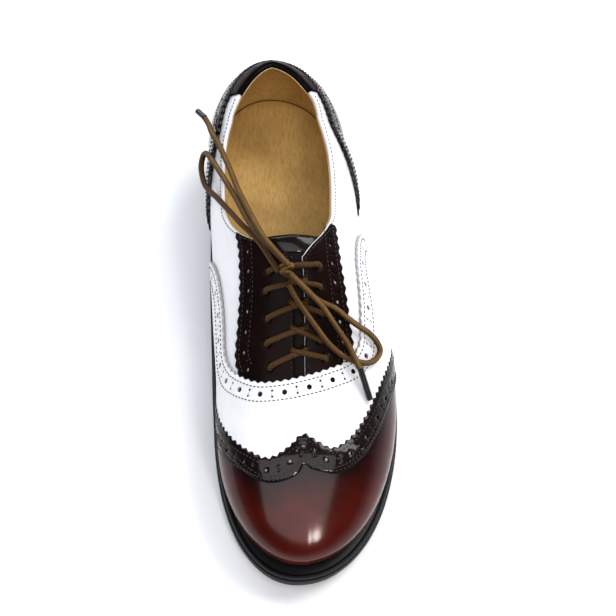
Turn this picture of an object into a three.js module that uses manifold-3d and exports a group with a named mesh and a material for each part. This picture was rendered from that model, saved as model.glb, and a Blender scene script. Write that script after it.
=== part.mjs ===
// A left wingtip oxford shoe: leather upper, overlays, tongue, insole, laces, welt, rubber sole and heel.
// Millimetres. The toe points along -Y, the inner (medial) side is -X, the ground is z = 0.
import * as THREE from "three";
import { mergeVertices } from "three/addons/utils/BufferGeometryUtils.js";
import Module from "manifold-3d";

const wasm = await Module();
wasm.setup();

// Driving sizes
const LENGTH = 270; // sole, heel end to toe end
const BALL_WIDTH = 94.5; // sole across the ball
const INSTEP = 70; // top of the instep above the welt
const SOLE_THICKNESS = 13; // forefoot, ground to the top of the welt
const HEEL_RISE = 17; // heel seat above the forefoot seat
const TOE_SPRING = 5.5; // toe end of the sole above the ground
const WELT_THICKNESS = 3;
const WELT_LIP = 6; // welt inside the edge of the upper
const TOP_LIFT = 6; // rubber under the heel block
const INSOLE_THICKNESS = 3.4;
const HEEL_PAD = 9; // cushion in the insole, full under the heel and gone at the ball
const WALL = 2.2; // upper leather with its lining
const THIN_LEATHER = 1; // toe cap, facings and collar strip
const MIDDLE_LEATHER = 1.4; // vamp, which laps over the facings
const THICK_LEATHER = 1.8; // wing band and counter, which lap over the rest
const TONGUE_WALL = 2.4;
const GAP = 0.3; // between pieces that meet
const SEAM_GAP = 0.8; // between two overlays
const SEAT_GAP = 0.4; // between the welt and what stands on it
const SLOT = 5; // between the two facings
const HEEL_LENGTH = 74; // heel block, from the back end to its breast
const LACE = 2.9; // diameter of the lace
const AGLET = 3.2; // diameter of its tips

// Where the fan-shaped sections turn round the heel and the toe, as shares of the length
const HEEL_POLE = 0.16;
const TOE_POLE = 0.8;

// Half widths of the plan outlines: at = share of the length, out = share of the ball width.
// The ends are round: from the first row back to the heel end, and from the last row to the toe end.
const SOLE_OUTLINE = {
  medial: {
    heelEnd: 0, toeEnd: 1, heelPower: 2, toePower: 2.3,
    rows: [
      { at: 0.13, out: 0.34 }, { at: 0.22, out: 0.358 }, { at: 0.32, out: 0.378 },
      { at: 0.42, out: 0.395 }, { at: 0.52, out: 0.404 }, { at: 0.61, out: 0.413 },
      { at: 0.7, out: 0.418 },
    ],
  },
  lateral: {
    heelEnd: 0, toeEnd: 1, heelPower: 2, toePower: 2.03,
    rows: [
      { at: 0.13, out: 0.363 }, { at: 0.24, out: 0.393 }, { at: 0.35, out: 0.433 },
      { at: 0.44, out: 0.49 }, { at: 0.52, out: 0.56 }, { at: 0.58, out: 0.588 },
      { at: 0.62, out: 0.592 },
    ],
  },
};
// The feather line, where the upper meets the welt
const FEATHER = {
  medial: {
    heelEnd: 0.018, toeEnd: 0.967, heelPower: 2, toePower: 2,
    rows: [
      { at: 0.13, out: 0.303 }, { at: 0.25, out: 0.3 }, { at: 0.38, out: 0.3 },
      { at: 0.5, out: 0.315 }, { at: 0.6, out: 0.352 }, { at: 0.68, out: 0.377 },
      { at: 0.737, out: 0.384 },
    ],
  },
  lateral: {
    heelEnd: 0.018, toeEnd: 0.967, heelPower: 2, toePower: 2,
    rows: [
      { at: 0.13, out: 0.312 }, { at: 0.25, out: 0.337 }, { at: 0.36, out: 0.375 },
      { at: 0.46, out: 0.437 }, { at: 0.55, out: 0.51 }, { at: 0.6, out: 0.538 },
      { at: 0.641, out: 0.545 },
    ],
  },
};
// The widest line of the upper, a little above the feather line
const WIDEST = {
  medial: {
    heelEnd: 0.012, toeEnd: 0.972, heelPower: 2, toePower: 2,
    rows: [
      { at: 0.16, out: 0.343 }, { at: 0.22, out: 0.365 }, { at: 0.32, out: 0.375 },
      { at: 0.42, out: 0.377 },
      { at: 0.515, out: 0.377 }, { at: 0.6, out: 0.376 }, { at: 0.68, out: 0.386 },
      { at: 0.737, out: 0.393 },
    ],
  },
  lateral: {
    heelEnd: 0.012, toeEnd: 0.972, heelPower: 2, toePower: 2,
    rows: [
      { at: 0.16, out: 0.382 }, { at: 0.23, out: 0.43 }, { at: 0.35, out: 0.442 },
      { at: 0.435, out: 0.461 },
      { at: 0.492, out: 0.489 }, { at: 0.561, out: 0.535 }, { at: 0.61, out: 0.552 },
      { at: 0.641, out: 0.555 },
    ],
  },
};
// Seat of the upper along the sole: heel = share of the heel rise, toe = share of the toe spring,
// slab = thickness of the outsole as a share of its thickness at the forefoot
const SEAT = [
  { at: 0, heel: 1, toe: 0, slab: 0.62 },
  { at: 0.18, heel: 1, toe: 0, slab: 0.62 },
  { at: 0.26, heel: 0.93, toe: 0, slab: 0.62 },
  { at: 0.34, heel: 0.79, toe: 0, slab: 0.66 },
  { at: 0.42, heel: 0.58, toe: 0, slab: 0.76 },
  { at: 0.5, heel: 0.31, toe: 0, slab: 0.88 },
  { at: 0.58, heel: 0.09, toe: 0, slab: 0.98 },
  { at: 0.64, heel: 0, toe: 0, slab: 1 },
  { at: 0.78, heel: 0, toe: 0, slab: 1 },
  { at: 0.86, heel: 0, toe: 0.16, slab: 1 },
  { at: 0.93, heel: 0, toe: 0.5, slab: 1 },
  { at: 1, heel: 0, toe: 1, slab: 1 },
];
// Sections of the last: at = station, waist = height of the widest line above the seat as a share of
// the instep, crown = height of the ridge above the seat as a share of the instep, power = squareness
// of the section, ridge = sideways place of the ridge as a share of the ball width
const SECTIONS = [
  { at: 0, waistMedial: 0.284, waistLateral: 0.284, crown: 0.929,
    powerMedial: 2.35, powerLateral: 2.35, ridge: 0 },
  { at: 0.08, waistMedial: 0.284, waistLateral: 0.284, crown: 0.929,
    powerMedial: 2.05, powerLateral: 1.95, ridge: 0 },
  { at: 0.16, waistMedial: 0.264, waistLateral: 0.271, crown: 0.929,
    powerMedial: 2.2, powerLateral: 1.8, ridge: 0 },
  { at: 0.25, waistMedial: 0.243, waistLateral: 0.257, crown: 0.871,
    powerMedial: 2.3, powerLateral: 1.8, ridge: 0.004 },
  { at: 0.34, waistMedial: 0.264, waistLateral: 0.264, crown: 0.951,
    powerMedial: 2.15, powerLateral: 1.6, ridge: 0.012 },
  { at: 0.4, waistMedial: 0.293, waistLateral: 0.293, crown: 0.996,
    powerMedial: 1.95, powerLateral: 1.7, ridge: 0.028 },
  { at: 0.44, waistMedial: 0.307, waistLateral: 0.307, crown: 1,
    powerMedial: 1.9, powerLateral: 1.75, ridge: 0.043 },
  { at: 0.5, waistMedial: 0.321, waistLateral: 0.307, crown: 0.953,
    powerMedial: 1.9, powerLateral: 1.8, ridge: 0.053 },
  { at: 0.58, waistMedial: 0.3, waistLateral: 0.257, crown: 0.836,
    powerMedial: 1.9, powerLateral: 1.85, ridge: 0.047 },
  { at: 0.66, waistMedial: 0.236, waistLateral: 0.207, crown: 0.7,
    powerMedial: 2, powerLateral: 1.95, ridge: 0.035 },
  { at: 0.73, waistMedial: 0.207, waistLateral: 0.193, crown: 0.593,
    powerMedial: 2.05, powerLateral: 2.05, ridge: 0.032 },
  { at: 0.8, waistMedial: 0.181, waistLateral: 0.181, crown: 0.52,
    powerMedial: 2.15, powerLateral: 2.15, ridge: 0.032 },
  { at: 0.9, waistMedial: 0.151, waistLateral: 0.151, crown: 0.52,
    powerMedial: 2.25, powerLateral: 2.25, ridge: 0.032 },
  { at: 1, waistMedial: 0.122, waistLateral: 0.122, crown: 0.52,
    powerMedial: 2.35, powerLateral: 2.35, ridge: 0.032 },
];
const TOE_FALL = 0.27; // how steeply the toe's crown falls forward from its pole
const HEEL_CLIMB = 0.2; // how steeply the heel's virtual crown climbs backward from its pole
const SKIRT = 6; // the form goes on below the feather line and is trimmed there

// Monotone cubic through one column of a table
function read(rows, column, at) {
  const last = rows.length - 1;
  if (at <= rows[0].at) return rows[0][column];
  if (at >= rows[last].at) return rows[last][column];
  const step = (i) => rows[i + 1].at - rows[i].at;
  const slope = (i) => (rows[i + 1][column] - rows[i][column]) / step(i);
  const tangent = (i) => {
    if (i === 0) return slope(0);
    if (i === last) return slope(last - 1);
    if (slope(i - 1) * slope(i) <= 0) return 0;
    const before = 2 * step(i) + step(i - 1);
    const after = step(i) + 2 * step(i - 1);
    return (before + after) / (before / slope(i - 1) + after / slope(i));
  };
  let i = 0;
  while (rows[i + 1].at < at) i += 1;
  const h = step(i);
  const t = (at - rows[i].at) / h;
  return (
    (2 * t ** 3 - 3 * t ** 2 + 1) * rows[i][column] +
    (t ** 3 - 2 * t ** 2 + t) * h * tangent(i) +
    (3 * t ** 2 - 2 * t ** 3) * rows[i + 1][column] +
    (t ** 3 - t ** 2) * h * tangent(i + 1)
  );
}

// Half width of a plan outline at a share of the length
function halfWidth(outline, at) {
  const { rows, heelEnd, toeEnd, heelPower, toePower } = outline;
  const first = rows[0];
  const last = rows[rows.length - 1];
  const round = (share, power) => (1 - Math.min(share, 1) ** power) ** (1 / power);
  if (at >= first.at && at <= last.at) return BALL_WIDTH * read(rows, "out", at);
  const heel = at < first.at;
  const share = heel ? (first.at - at) / (first.at - heelEnd) : (at - last.at) / (toeEnd - last.at);
  return BALL_WIDTH * (heel ? first : last).out * round(share, heel ? heelPower : toePower);
}

// Heights along the shoe
function seatHeight(at) {
  return SOLE_THICKNESS + HEEL_RISE * read(SEAT, "heel", at) + TOE_SPRING * read(SEAT, "toe", at);
}
function soleUnderside(at) {
  const slab = SOLE_THICKNESS - WELT_THICKNESS - GAP;
  return seatHeight(at) - WELT_THICKNESS - GAP - slab * read(SEAT, "slab", at);
}
const shareOf = (y) => 0.5 - y / LENGTH;
const placeOf = (at) => LENGTH * (0.5 - at);

// Distance from a pole to an outline in a plan direction: turn is 0 sideways, a right angle along the shoe
function reach(outline, sign, pole, poleX, turn) {
  let low = turn < 0 ? outline.heelEnd : pole;
  let high = turn < 0 ? pole : outline.toeEnd;
  const across = (at) => halfWidth(outline, at) - sign * poleX;
  const HALVINGS = 40;
  for (let k = 0; k < HALVINGS; k += 1) {
    const middle = (low + high) / 2;
    if (Math.atan2((middle - pole) * LENGTH, across(middle)) < turn) low = middle;
    else high = middle;
  }
  return Math.hypot((low - pole) * LENGTH, across(low));
}

// One section of the last: points (r, z) from the ridge to below the feather line, and its girth
const sections = new Map();
function section(side, station) {
  const key = `${side} ${station.toFixed(7)}`;
  if (sections.has(key)) return sections.get(key);
  const sign = side === "medial" ? -1 : 1;
  const end = side === "medial" ? "Medial" : "Lateral";
  let turn = 0;
  let pole = station;
  if (station < HEEL_POLE) {
    pole = HEEL_POLE;
    turn = (-Math.PI / 2) * (1 - station / HEEL_POLE);
  }
  if (station > TOE_POLE) {
    pole = TOE_POLE;
    turn = ((Math.PI / 2) * (station - TOE_POLE)) / (1 - TOE_POLE);
  }
  const ridge = BALL_WIDTH * read(SECTIONS, "ridge", pole);
  const far = reach(WIDEST[side], sign, pole, ridge, turn);
  const foot = reach(FEATHER[side], sign, pole, ridge, turn);
  const footHeight = seatHeight(pole + (foot * Math.sin(turn)) / LENGTH);
  const waist = footHeight + INSTEP * read(SECTIONS, `waist${end}`, station);
  const crown = seatHeight(pole) + INSTEP * read(SECTIONS, "crown", pole);
  const power = read(SECTIONS, `power${end}`, station);
  const fall = (turn < 0 ? HEEL_CLIMB : TOE_FALL) * Math.sin(turn);
  const points = [];
  const UPPER_STEPS = 40;
  for (let i = 0; i <= UPPER_STEPS; i += 1) {
    const angle = (Math.PI / 2) * (i / UPPER_STEPS);
    const r = far * Math.sin(angle) ** (2 / power);
    const lift = Math.max(Math.cos(angle), 0) ** (2 / power);
    points.push([r, waist + (crown - waist - fall * r) * lift]);
  }
  const depth = waist - footHeight;
  const LOWER_STEPS = 12;
  for (let i = 1; i <= LOWER_STEPS; i += 1) {
    const q = i / LOWER_STEPS;
    points.push([far - (far - foot) * q * q, waist - depth * q]);
  }
  const feather = points.length - 1;
  const below = 1 + SKIRT / depth;
  points.push([far - (far - foot) * below * below, waist - depth * below]);
  const run = [0];
  for (let i = 1; i < points.length; i += 1) {
    run.push(run[i - 1] + Math.hypot(points[i][0] - points[i - 1][0], points[i][1] - points[i - 1][1]));
  }
  const made = { sign, turn, pole, ridge, points, run, girth: run[feather] };
  sections.set(key, made);
  return made;
}

// Point of the last at a station (0 heel, 1 toe) and a round share (0 ridge, 1 feather line)
function lastPoint(side, station, round) {
  const { sign, turn, pole, ridge, points, run, girth } = section(side, station);
  const want = Math.min(round * girth, run[run.length - 1]);
  let i = 1;
  while (i < run.length - 1 && run[i] < want) i += 1;
  const t = (want - run[i - 1]) / (run[i] - run[i - 1]);
  const r = points[i - 1][0] + t * (points[i][0] - points[i - 1][0]);
  const z = points[i - 1][1] + t * (points[i][1] - points[i - 1][1]);
  return new THREE.Vector3(ridge + sign * r * Math.cos(turn), placeOf(pole) - r * Math.sin(turn), z);
}

// The leather laid flat: a chart point for a station and a signed round share, and the way back
function chartPoint(station, round) {
  const { sign, turn, pole, ridge, girth } = section(round < 0 ? "medial" : "lateral", station);
  const r = Math.abs(round) * girth;
  return new THREE.Vector2(ridge + sign * r * Math.cos(turn), pole * LENGTH + r * Math.sin(turn));
}
function chartToLast(x, y) {
  const at = y / LENGTH;
  const pole = Math.min(Math.max(at, HEEL_POLE), TOE_POLE);
  const ridge = BALL_WIDTH * read(SECTIONS, "ridge", pole);
  const side = x < ridge ? "medial" : "lateral";
  const turn = Math.atan2(y - pole * LENGTH, Math.abs(x - ridge)) / (Math.PI / 2);
  let station = at;
  if (at > TOE_POLE) station = TOE_POLE + (1 - TOE_POLE) * turn;
  if (at < HEEL_POLE) station = HEEL_POLE * (1 + turn);
  const r = Math.hypot(x - ridge, y - pole * LENGTH);
  return { side, station, round: r / section(side, station).girth };
}
function skin(x, y, out) {
  const spot = (px, py) => {
    const { side, station, round } = chartToLast(px, py);
    return lastPoint(side, station, round);
  };
  const STEP = 0.8;
  const across = spot(x + STEP, y).sub(spot(x - STEP, y));
  const along = spot(x, y + STEP).sub(spot(x, y - STEP));
  const normal = along.cross(across).normalize();
  return spot(x, y).addScaledVector(normal, out);
}

// Solids
function solidFrom(points, faces) {
  const kept = [];
  for (let i = 0; i < faces.length; i += 3) {
    const [a, b, c] = [faces[i], faces[i + 1], faces[i + 2]];
    if (a !== b && b !== c && c !== a) kept.push(a, b, c);
  }
  const vertProperties = new Float32Array(points.flatMap((p) => [p.x, p.y, p.z]));
  const make = () => {
    const triVerts = new Uint32Array(kept);
    return new wasm.Manifold(new wasm.Mesh({ numProp: 3, vertProperties, triVerts }));
  };
  const made = make();
  if (made.volume() > 0) return made;
  for (let i = 0; i < kept.length; i += 3) [kept[i + 1], kept[i + 2]] = [kept[i + 2], kept[i + 1]];
  return make();
}
function solidOf(geometry) {
  const bare = geometry.clone();
  bare.deleteAttribute("normal");
  bare.deleteAttribute("uv");
  const merged = mergeVertices(bare, 1e-3);
  const place = merged.attributes.position;
  const point = (_, i) => new THREE.Vector3().fromBufferAttribute(place, i);
  return solidFrom(Array.from({ length: place.count }, point), Array.from(merged.index.array));
}
function toGeometry(solid) {
  const mesh = solid.getMesh();
  const geometry = new THREE.BufferGeometry();
  geometry.setAttribute("position", new THREE.BufferAttribute(new Float32Array(mesh.vertProperties), 3));
  geometry.setIndex(new THREE.BufferAttribute(new Uint32Array(mesh.triVerts), 1));
  return geometry.toNonIndexed();
}
// Two triangles between edge a-b and edge d-c
const quad = (a, b, c, d) => [a, b, c, a, c, d];

// Evenly spaced values from one end up to, but without, the other
const spread = (from, to, steps) =>
  Array.from({ length: steps }, (_, i) => from + ((to - from) * i) / steps);

// A closed loop of stations round the last: lateral from heel to toe, then medial back to the heel
const STATIONS = [
  ...spread(0, HEEL_POLE, 5), ...spread(HEEL_POLE, TOE_POLE, 12), ...spread(TOE_POLE, 1, 6), 1,
];
const LOOP = [
  ...STATIONS.map((station) => ({ side: "lateral", sign: 1, station })),
  ...STATIONS.slice(1, -1).reverse().map((station) => ({ side: "medial", sign: -1, station })),
];
const ROUNDS = [...spread(0, 1, 8), 1];

// The last as a closed solid, grown outward by out
const forms = new Map();
function form(out) {
  if (forms.has(out)) return forms.get(out);
  const points = [];
  const rows = [];
  // Both sides share the points of the ridge, and each fan shares its pole
  const ridge = new Map();
  rows.push(LOOP.map(({ station }) => {
    const at = Math.min(Math.max(station, HEEL_POLE), TOE_POLE);
    if (!ridge.has(at)) {
      const spot = chartPoint(at, 0);
      ridge.set(at, points.push(skin(spot.x, spot.y, out)) - 1);
    }
    return ridge.get(at);
  }));
  for (const round of ROUNDS.slice(1)) {
    rows.push(LOOP.map(({ sign, station }) => {
      const spot = chartPoint(station, sign * round);
      return points.push(skin(spot.x, spot.y, out)) - 1;
    }));
  }
  const rim = rows[rows.length - 1];
  rows.push(LOOP.map(({ side, station }, k) => {
    const { girth, run } = section(side, station);
    const drop = lastPoint(side, station, run[run.length - 1] / girth).sub(lastPoint(side, station, 1));
    return points.push(points[rim[k]].clone().add(drop)) - 1;
  }));
  const faces = [];
  for (let j = 0; j + 1 < rows.length; j += 1) {
    for (let k = 0; k < LOOP.length; k += 1) {
      const next = (k + 1) % LOOP.length;
      faces.push(...quad(rows[j][k], rows[j][next], rows[j + 1][next], rows[j + 1][k]));
    }
  }
  faces.push(...ladder(rows[rows.length - 1]));
  const made = solidFrom(points, faces);
  forms.set(out, made);
  return made;
}

// A cap over a loop that starts at the heel and comes back to it, with rungs from side to side
function ladder(loop) {
  const faces = [];
  const count = loop.length;
  for (let k = 0; k < count / 2; k += 1) {
    faces.push(...quad(loop[k], loop[k + 1], loop[count - k - 1], loop[(count - k) % count]));
  }
  return faces;
}

// Everything below the seat, which is raised by rise, a height for a share of the length
const PAST = 30; // how far a cutter reaches past the shoe
function seatBlock(rise) {
  const STEPS = 64;
  const outline = new THREE.Shape();
  const top = (at) => seatHeight(at) + rise(at);
  outline.moveTo(placeOf(0) + PAST, -PAST);
  outline.lineTo(placeOf(0) + PAST, top(0));
  for (const at of [...spread(0, 1, STEPS), 1]) outline.lineTo(placeOf(at), top(at));
  outline.lineTo(placeOf(1) - PAST, top(1));
  outline.lineTo(placeOf(1) - PAST, -PAST);
  const block = new THREE.ExtrudeGeometry(outline, { depth: 2 * BALL_WIDTH, bevelEnabled: false });
  // the shape is drawn in the y-z plane and extruded along x
  const turned = new THREE.Matrix4().makeBasis(
    new THREE.Vector3(0, 1, 0), new THREE.Vector3(0, 0, 1), new THREE.Vector3(1, 0, 0));
  block.applyMatrix4(turned);
  block.translate(-BALL_WIDTH, 0, 0);
  return solidOf(block);
}

// The opening of the upper: along = station, medial and lateral = round share of the edge on each side.
// It runs from the heel over the collar to the end of the slot between the facings.
const OPENING = [
  { at: 0, medial: 0.335, lateral: 0.335 },
  { at: 0.04, medial: 0.285, lateral: 0.295 },
  { at: 0.08, medial: 0.272, lateral: 0.282 },
  { at: 0.12, medial: 0.283, lateral: 0.31 },
  { at: 0.16, medial: 0.33, lateral: 0.328 },
  { at: 0.2, medial: 0.385, lateral: 0.345 },
  { at: 0.25, medial: 0.418, lateral: 0.36 },
  { at: 0.305, medial: 0.436, lateral: 0.362 },
  { at: 0.335, medial: 0.44, lateral: 0.352 },
  { at: 0.37, medial: 0.4, lateral: 0.315 },
  { at: 0.4, medial: 0.33, lateral: 0.25 },
  { at: 0.425, medial: 0.24, lateral: 0.18 },
  { at: 0.447, medial: 0.13, lateral: 0.107 },
  { at: 0.461, medial: 0.07, lateral: 0.065 },
  { at: 0.472, medial: 0.035, lateral: 0.035 },
];
const SLOT_END = 0.672;
function openingRound(side, station) {
  const { girth } = section(side, station);
  const slot = SLOT / 2 / girth;
  if (station >= OPENING[OPENING.length - 1].at) return slot;
  return Math.max(slot, read(OPENING, side, station));
}
function openingCutter() {
  const INSIDE = -9;
  const OUTSIDE = 9;
  const TOP = 2 * INSTEP; // above the whole shoe
  const DEEPER = 15; // the cutter's middle, inside the shoe, lies under its edges
  const THROAT = 0.4; // from here to the slot the edge turns quickly
  const SLOT_START = 0.48;
  const stations = [
    ...spread(0, HEEL_POLE, 8), ...spread(HEEL_POLE, THROAT, 11), ...spread(THROAT, SLOT_START, 8),
    ...spread(SLOT_START, SLOT_END, 6), SLOT_END,
  ];
  const points = [];
  const rows = stations.map((station) => {
    const edge = ["medial", "lateral"].map((side) => {
      const sign = side === "medial" ? -1 : 1;
      const spot = chartPoint(station, sign * openingRound(side, station));
      return [skin(spot.x, spot.y, INSIDE), skin(spot.x, spot.y, OUTSIDE)];
    });
    const { ridge, pole } = section("lateral", station);
    const middle = (z) => new THREE.Vector3(ridge, placeOf(pole), z);
    const above = (p) => p.clone().setZ(TOP);
    const [[inM, outM], [inL, outL]] = edge;
    const low = Math.min(inM.z, inL.z) - DEEPER;
    const profile = [middle(low), inM, outM, above(outM), middle(TOP), above(outL), outL, inL];
    const first = points.length;
    points.push(...profile);
    return profile.map((_, k) => first + k);
  });
  const faces = [];
  for (let i = 0; i + 1 < rows.length; i += 1) {
    for (let k = 0; k < rows[0].length; k += 1) {
      const next = (k + 1) % rows[0].length;
      faces.push(...quad(rows[i][k], rows[i][next], rows[i + 1][next], rows[i + 1][k]));
    }
  }
  const cap = (row) => row.slice(2).flatMap((_, k) => [row[0], row[k + 1], row[k + 2]]);
  faces.push(...cap(rows[0]).reverse(), ...cap(rows[rows.length - 1]));
  return solidFrom(points, faces);
}

// Plan loops of the sole: lateral from heel to toe, then medial back, inset towards the middle
const LOOP_STEPS = 24;
function planLoop(outline, inset) {
  const side = (name, sign) => Array.from({ length: LOOP_STEPS + 1 }, (_, i) => {
    const { heelEnd, toeEnd } = outline[name];
    const at = heelEnd + ((toeEnd - heelEnd) * (1 - Math.cos((Math.PI * i) / LOOP_STEPS))) / 2;
    return new THREE.Vector2(sign * halfWidth(outline[name], at), placeOf(at));
  });
  const loop = [...side("lateral", 1), ...side("medial", -1).reverse().slice(1, -1)];
  return loop.map((spot, k) => {
    const before = loop[(k + loop.length - 1) % loop.length];
    const after = loop[(k + 1) % loop.length];
    const along = after.clone().sub(before).normalize();
    // the loop runs clockwise seen from above, so the right-hand normal points inward
    return spot.clone().add(new THREE.Vector2(along.y, -along.x).multiplyScalar(inset));
  });
}
// A solid from stacked loops: each has an outline, an inset and a height for a share of the length
function stacked(loops, hollow) {
  const points = [];
  const rows = loops.map(({ outline, inset, height }) => planLoop(outline, inset).map((spot) =>
    points.push(new THREE.Vector3(spot.x, spot.y, height(shareOf(spot.y)))) - 1));
  const faces = [];
  const count = rows[0].length;
  for (let j = 0; j + 1 < rows.length + (hollow ? 1 : 0); j += 1) {
    const [from, to] = [rows[j], rows[(j + 1) % rows.length]];
    for (let k = 0; k < count; k += 1) {
      faces.push(...quad(from[k], from[(k + 1) % count], to[(k + 1) % count], to[k]));
    }
  }
  if (!hollow) {
    faces.push(...ladder(rows[0]).reverse());
    faces.push(...ladder(rows[rows.length - 1]));
  }
  return solidFrom(points, faces);
}
function box(x0, x1, y0, y1, z0, z1) {
  const made = new THREE.BoxGeometry(x1 - x0, y1 - y0, z1 - z0);
  made.translate((x0 + x1) / 2, (y0 + y1) / 2, (z0 + z1) / 2);
  return solidOf(made);
}

// Sole
const WELT_INSET = 0.7; // the welt stands back a little over the outsole
const SIDE_STEP = 1.1; // the outsole's lower half stands back under its upper half
const EDGE = 1.2; // small bevels of the sole's edges
const upperSide = (at) => seatHeight(at) - WELT_THICKNESS - GAP;
const midSide = (at) => (upperSide(at) + soleUnderside(at)) / 2;

function outsole() {
  const o = SOLE_OUTLINE;
  return stacked([
    { outline: o, inset: SIDE_STEP + EDGE, height: soleUnderside },
    { outline: o, inset: SIDE_STEP, height: (at) => soleUnderside(at) + EDGE },
    { outline: o, inset: SIDE_STEP, height: midSide },
    { outline: o, inset: 0, height: (at) => midSide(at) + SIDE_STEP / 2 },
    { outline: o, inset: 0, height: (at) => upperSide(at) - EDGE / 2 },
    { outline: o, inset: EDGE / 2, height: upperSide },
    { outline: FEATHER, inset: WELT_LIP + GAP, height: upperSide },
    { outline: FEATHER, inset: WELT_LIP + GAP, height: seatHeight },
  ], false);
}
function welt() {
  const base = (at) => seatHeight(at) - WELT_THICKNESS;
  const o = SOLE_OUTLINE;
  return stacked([
    { outline: o, inset: WELT_INSET, height: base },
    { outline: o, inset: WELT_INSET, height: (at) => seatHeight(at) - EDGE },
    { outline: o, inset: WELT_INSET + EDGE, height: seatHeight },
    { outline: FEATHER, inset: WELT_LIP, height: seatHeight },
    { outline: FEATHER, inset: WELT_LIP, height: base },
  ], true);
}
const breast = placeOf(0) - HEEL_LENGTH;
const heelOnly = box(-BALL_WIDTH, BALL_WIDTH, breast, placeOf(0) + PAST, -PAST, INSTEP);
function heelBlock() {
  const o = SOLE_OUTLINE;
  const top = (at) => soleUnderside(at) - GAP;
  return stacked([
    { outline: o, inset: SIDE_STEP + EDGE, height: () => TOP_LIFT + GAP },
    { outline: o, inset: SIDE_STEP, height: (at) => Math.max(top(at), TOP_LIFT + 2 * GAP) },
  ], false).intersect(heelOnly);
}
function topLift() {
  const o = SOLE_OUTLINE;
  return stacked([
    { outline: o, inset: SIDE_STEP + 2 * EDGE, height: () => 0 },
    { outline: o, inset: SIDE_STEP + EDGE, height: () => EDGE },
    { outline: o, inset: SIDE_STEP + EDGE, height: () => TOP_LIFT },
  ], false).intersect(heelOnly);
}

const below = seatBlock(() => SEAT_GAP);
const opening = openingCutter();
const upper = form(0).subtract(form(-WALL)).subtract(opening).subtract(below);
const insoleTop = seatBlock((at) => SEAT_GAP + INSOLE_THICKNESS + HEEL_PAD * read(SEAT, "heel", at));
const insole = form(-WALL - GAP).intersect(insoleTop).subtract(below);

// Overlays. Each edge is a row of stations and signed round shares: negative on the medial side.
const UNDER = 1.04; // an edge that runs down past the feather line
const WING_EDGE = [
  { at: 0.575, round: -UNDER }, { at: 0.62, round: -0.87 }, { at: 0.668, round: -0.75 },
  { at: 0.713, round: -0.653 },
  { at: 0.758, round: -0.531 }, { at: 0.788, round: -0.409 }, { at: 0.808, round: -0.306 },
  { at: 0.806, round: -0.2 }, { at: 0.786, round: -0.09 }, { at: 0.768, round: 0.003 },
  { at: 0.783, round: 0.103 },
  { at: 0.796, round: 0.205 }, { at: 0.777, round: 0.331 }, { at: 0.744, round: 0.421 },
  { at: 0.695, round: 0.506 },
  { at: 0.641, round: 0.599 }, { at: 0.595, round: 0.71 }, { at: 0.56, round: 0.86 },
  { at: 0.53, round: UNDER },
];
const WING_SEAM = [
  { at: 0.655, round: -UNDER }, { at: 0.7, round: -0.87 }, { at: 0.74, round: -0.74 },
  { at: 0.785, round: -0.6 },
  { at: 0.841, round: -0.457 }, { at: 0.88, round: -0.365 }, { at: 0.918, round: -0.255 },
  { at: 0.958, round: -0.166 },
  { at: 1, round: 0.09 }, { at: 0.958, round: 0.135 }, { at: 0.9, round: 0.23 },
  { at: 0.878, round: 0.3 },
  { at: 0.845, round: 0.37 }, { at: 0.805, round: 0.455 }, { at: 0.758, round: 0.548 },
  { at: 0.707, round: 0.625 },
  { at: 0.657, round: 0.72 }, { at: 0.62, round: 0.86 }, { at: 0.59, round: UNDER },
];
const VAMP_EDGE = [
  { at: 0.375, round: -UNDER }, { at: 0.382, round: -0.86 }, { at: 0.402, round: -0.7 },
  { at: 0.436, round: -0.6 },
  { at: 0.492, round: -0.545 }, { at: 0.539, round: -0.54 }, { at: 0.594, round: -0.555 },
  { at: 0.628, round: -0.5 },
  { at: 0.655, round: -0.385 }, { at: 0.669, round: -0.281 }, { at: 0.673, round: -0.126 },
  { at: 0.667, round: 0.045 },
  { at: 0.657, round: 0.165 }, { at: 0.638, round: 0.303 }, { at: 0.608, round: 0.375 },
  { at: 0.568, round: 0.389 },
  { at: 0.499, round: 0.407 }, { at: 0.435, round: 0.46 }, { at: 0.39, round: 0.56 },
  { at: 0.362, round: 0.7 },
  { at: 0.35, round: 0.86 }, { at: 0.345, round: UNDER },
];
const COUNTER_EDGE = [
  { at: 0, round: 0.45 }, { at: 0.05, round: 0.415 }, { at: 0.1, round: 0.38 },
  { at: 0.127, round: 0.392 },
  { at: 0.153, round: 0.424 }, { at: 0.178, round: 0.468 }, { at: 0.203, round: 0.516 },
  { at: 0.23, round: 0.575 }, { at: 0.252, round: 0.645 }, { at: 0.272, round: 0.73 },
  { at: 0.292, round: 0.82 }, { at: 0.311, round: 0.92 }, { at: 0.33, round: UNDER },
];
const STRIP_EDGE = [{ at: 0, round: 0.43 }, { at: 0.05, round: 0.396 }, { at: 0.1, round: 0.365 }];
const STRIP_END = 0.1;
const FACING_EDGE = [
  { at: 0.4, medial: 0.33, lateral: 0.285 }, { at: 0.43, medial: 0.328, lateral: 0.271 },
  { at: 0.467, medial: 0.338, lateral: 0.264 }, { at: 0.517, medial: 0.359, lateral: 0.274 },
  { at: 0.565, medial: 0.398, lateral: 0.295 }, { at: 0.616, medial: 0.44, lateral: 0.327 },
  { at: 0.645, medial: 0.42, lateral: 0.34 }, { at: 0.66, medial: 0.4, lateral: 0.34 },
];
const TONGUE_EDGE = [
  { at: 0.425, medial: 0.27, lateral: 0.26 }, { at: 0.5, medial: 0.25, lateral: 0.25 },
  { at: 0.6, medial: 0.24, lateral: 0.24 }, { at: 0.69, medial: 0.2, lateral: 0.2 },
];

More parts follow.
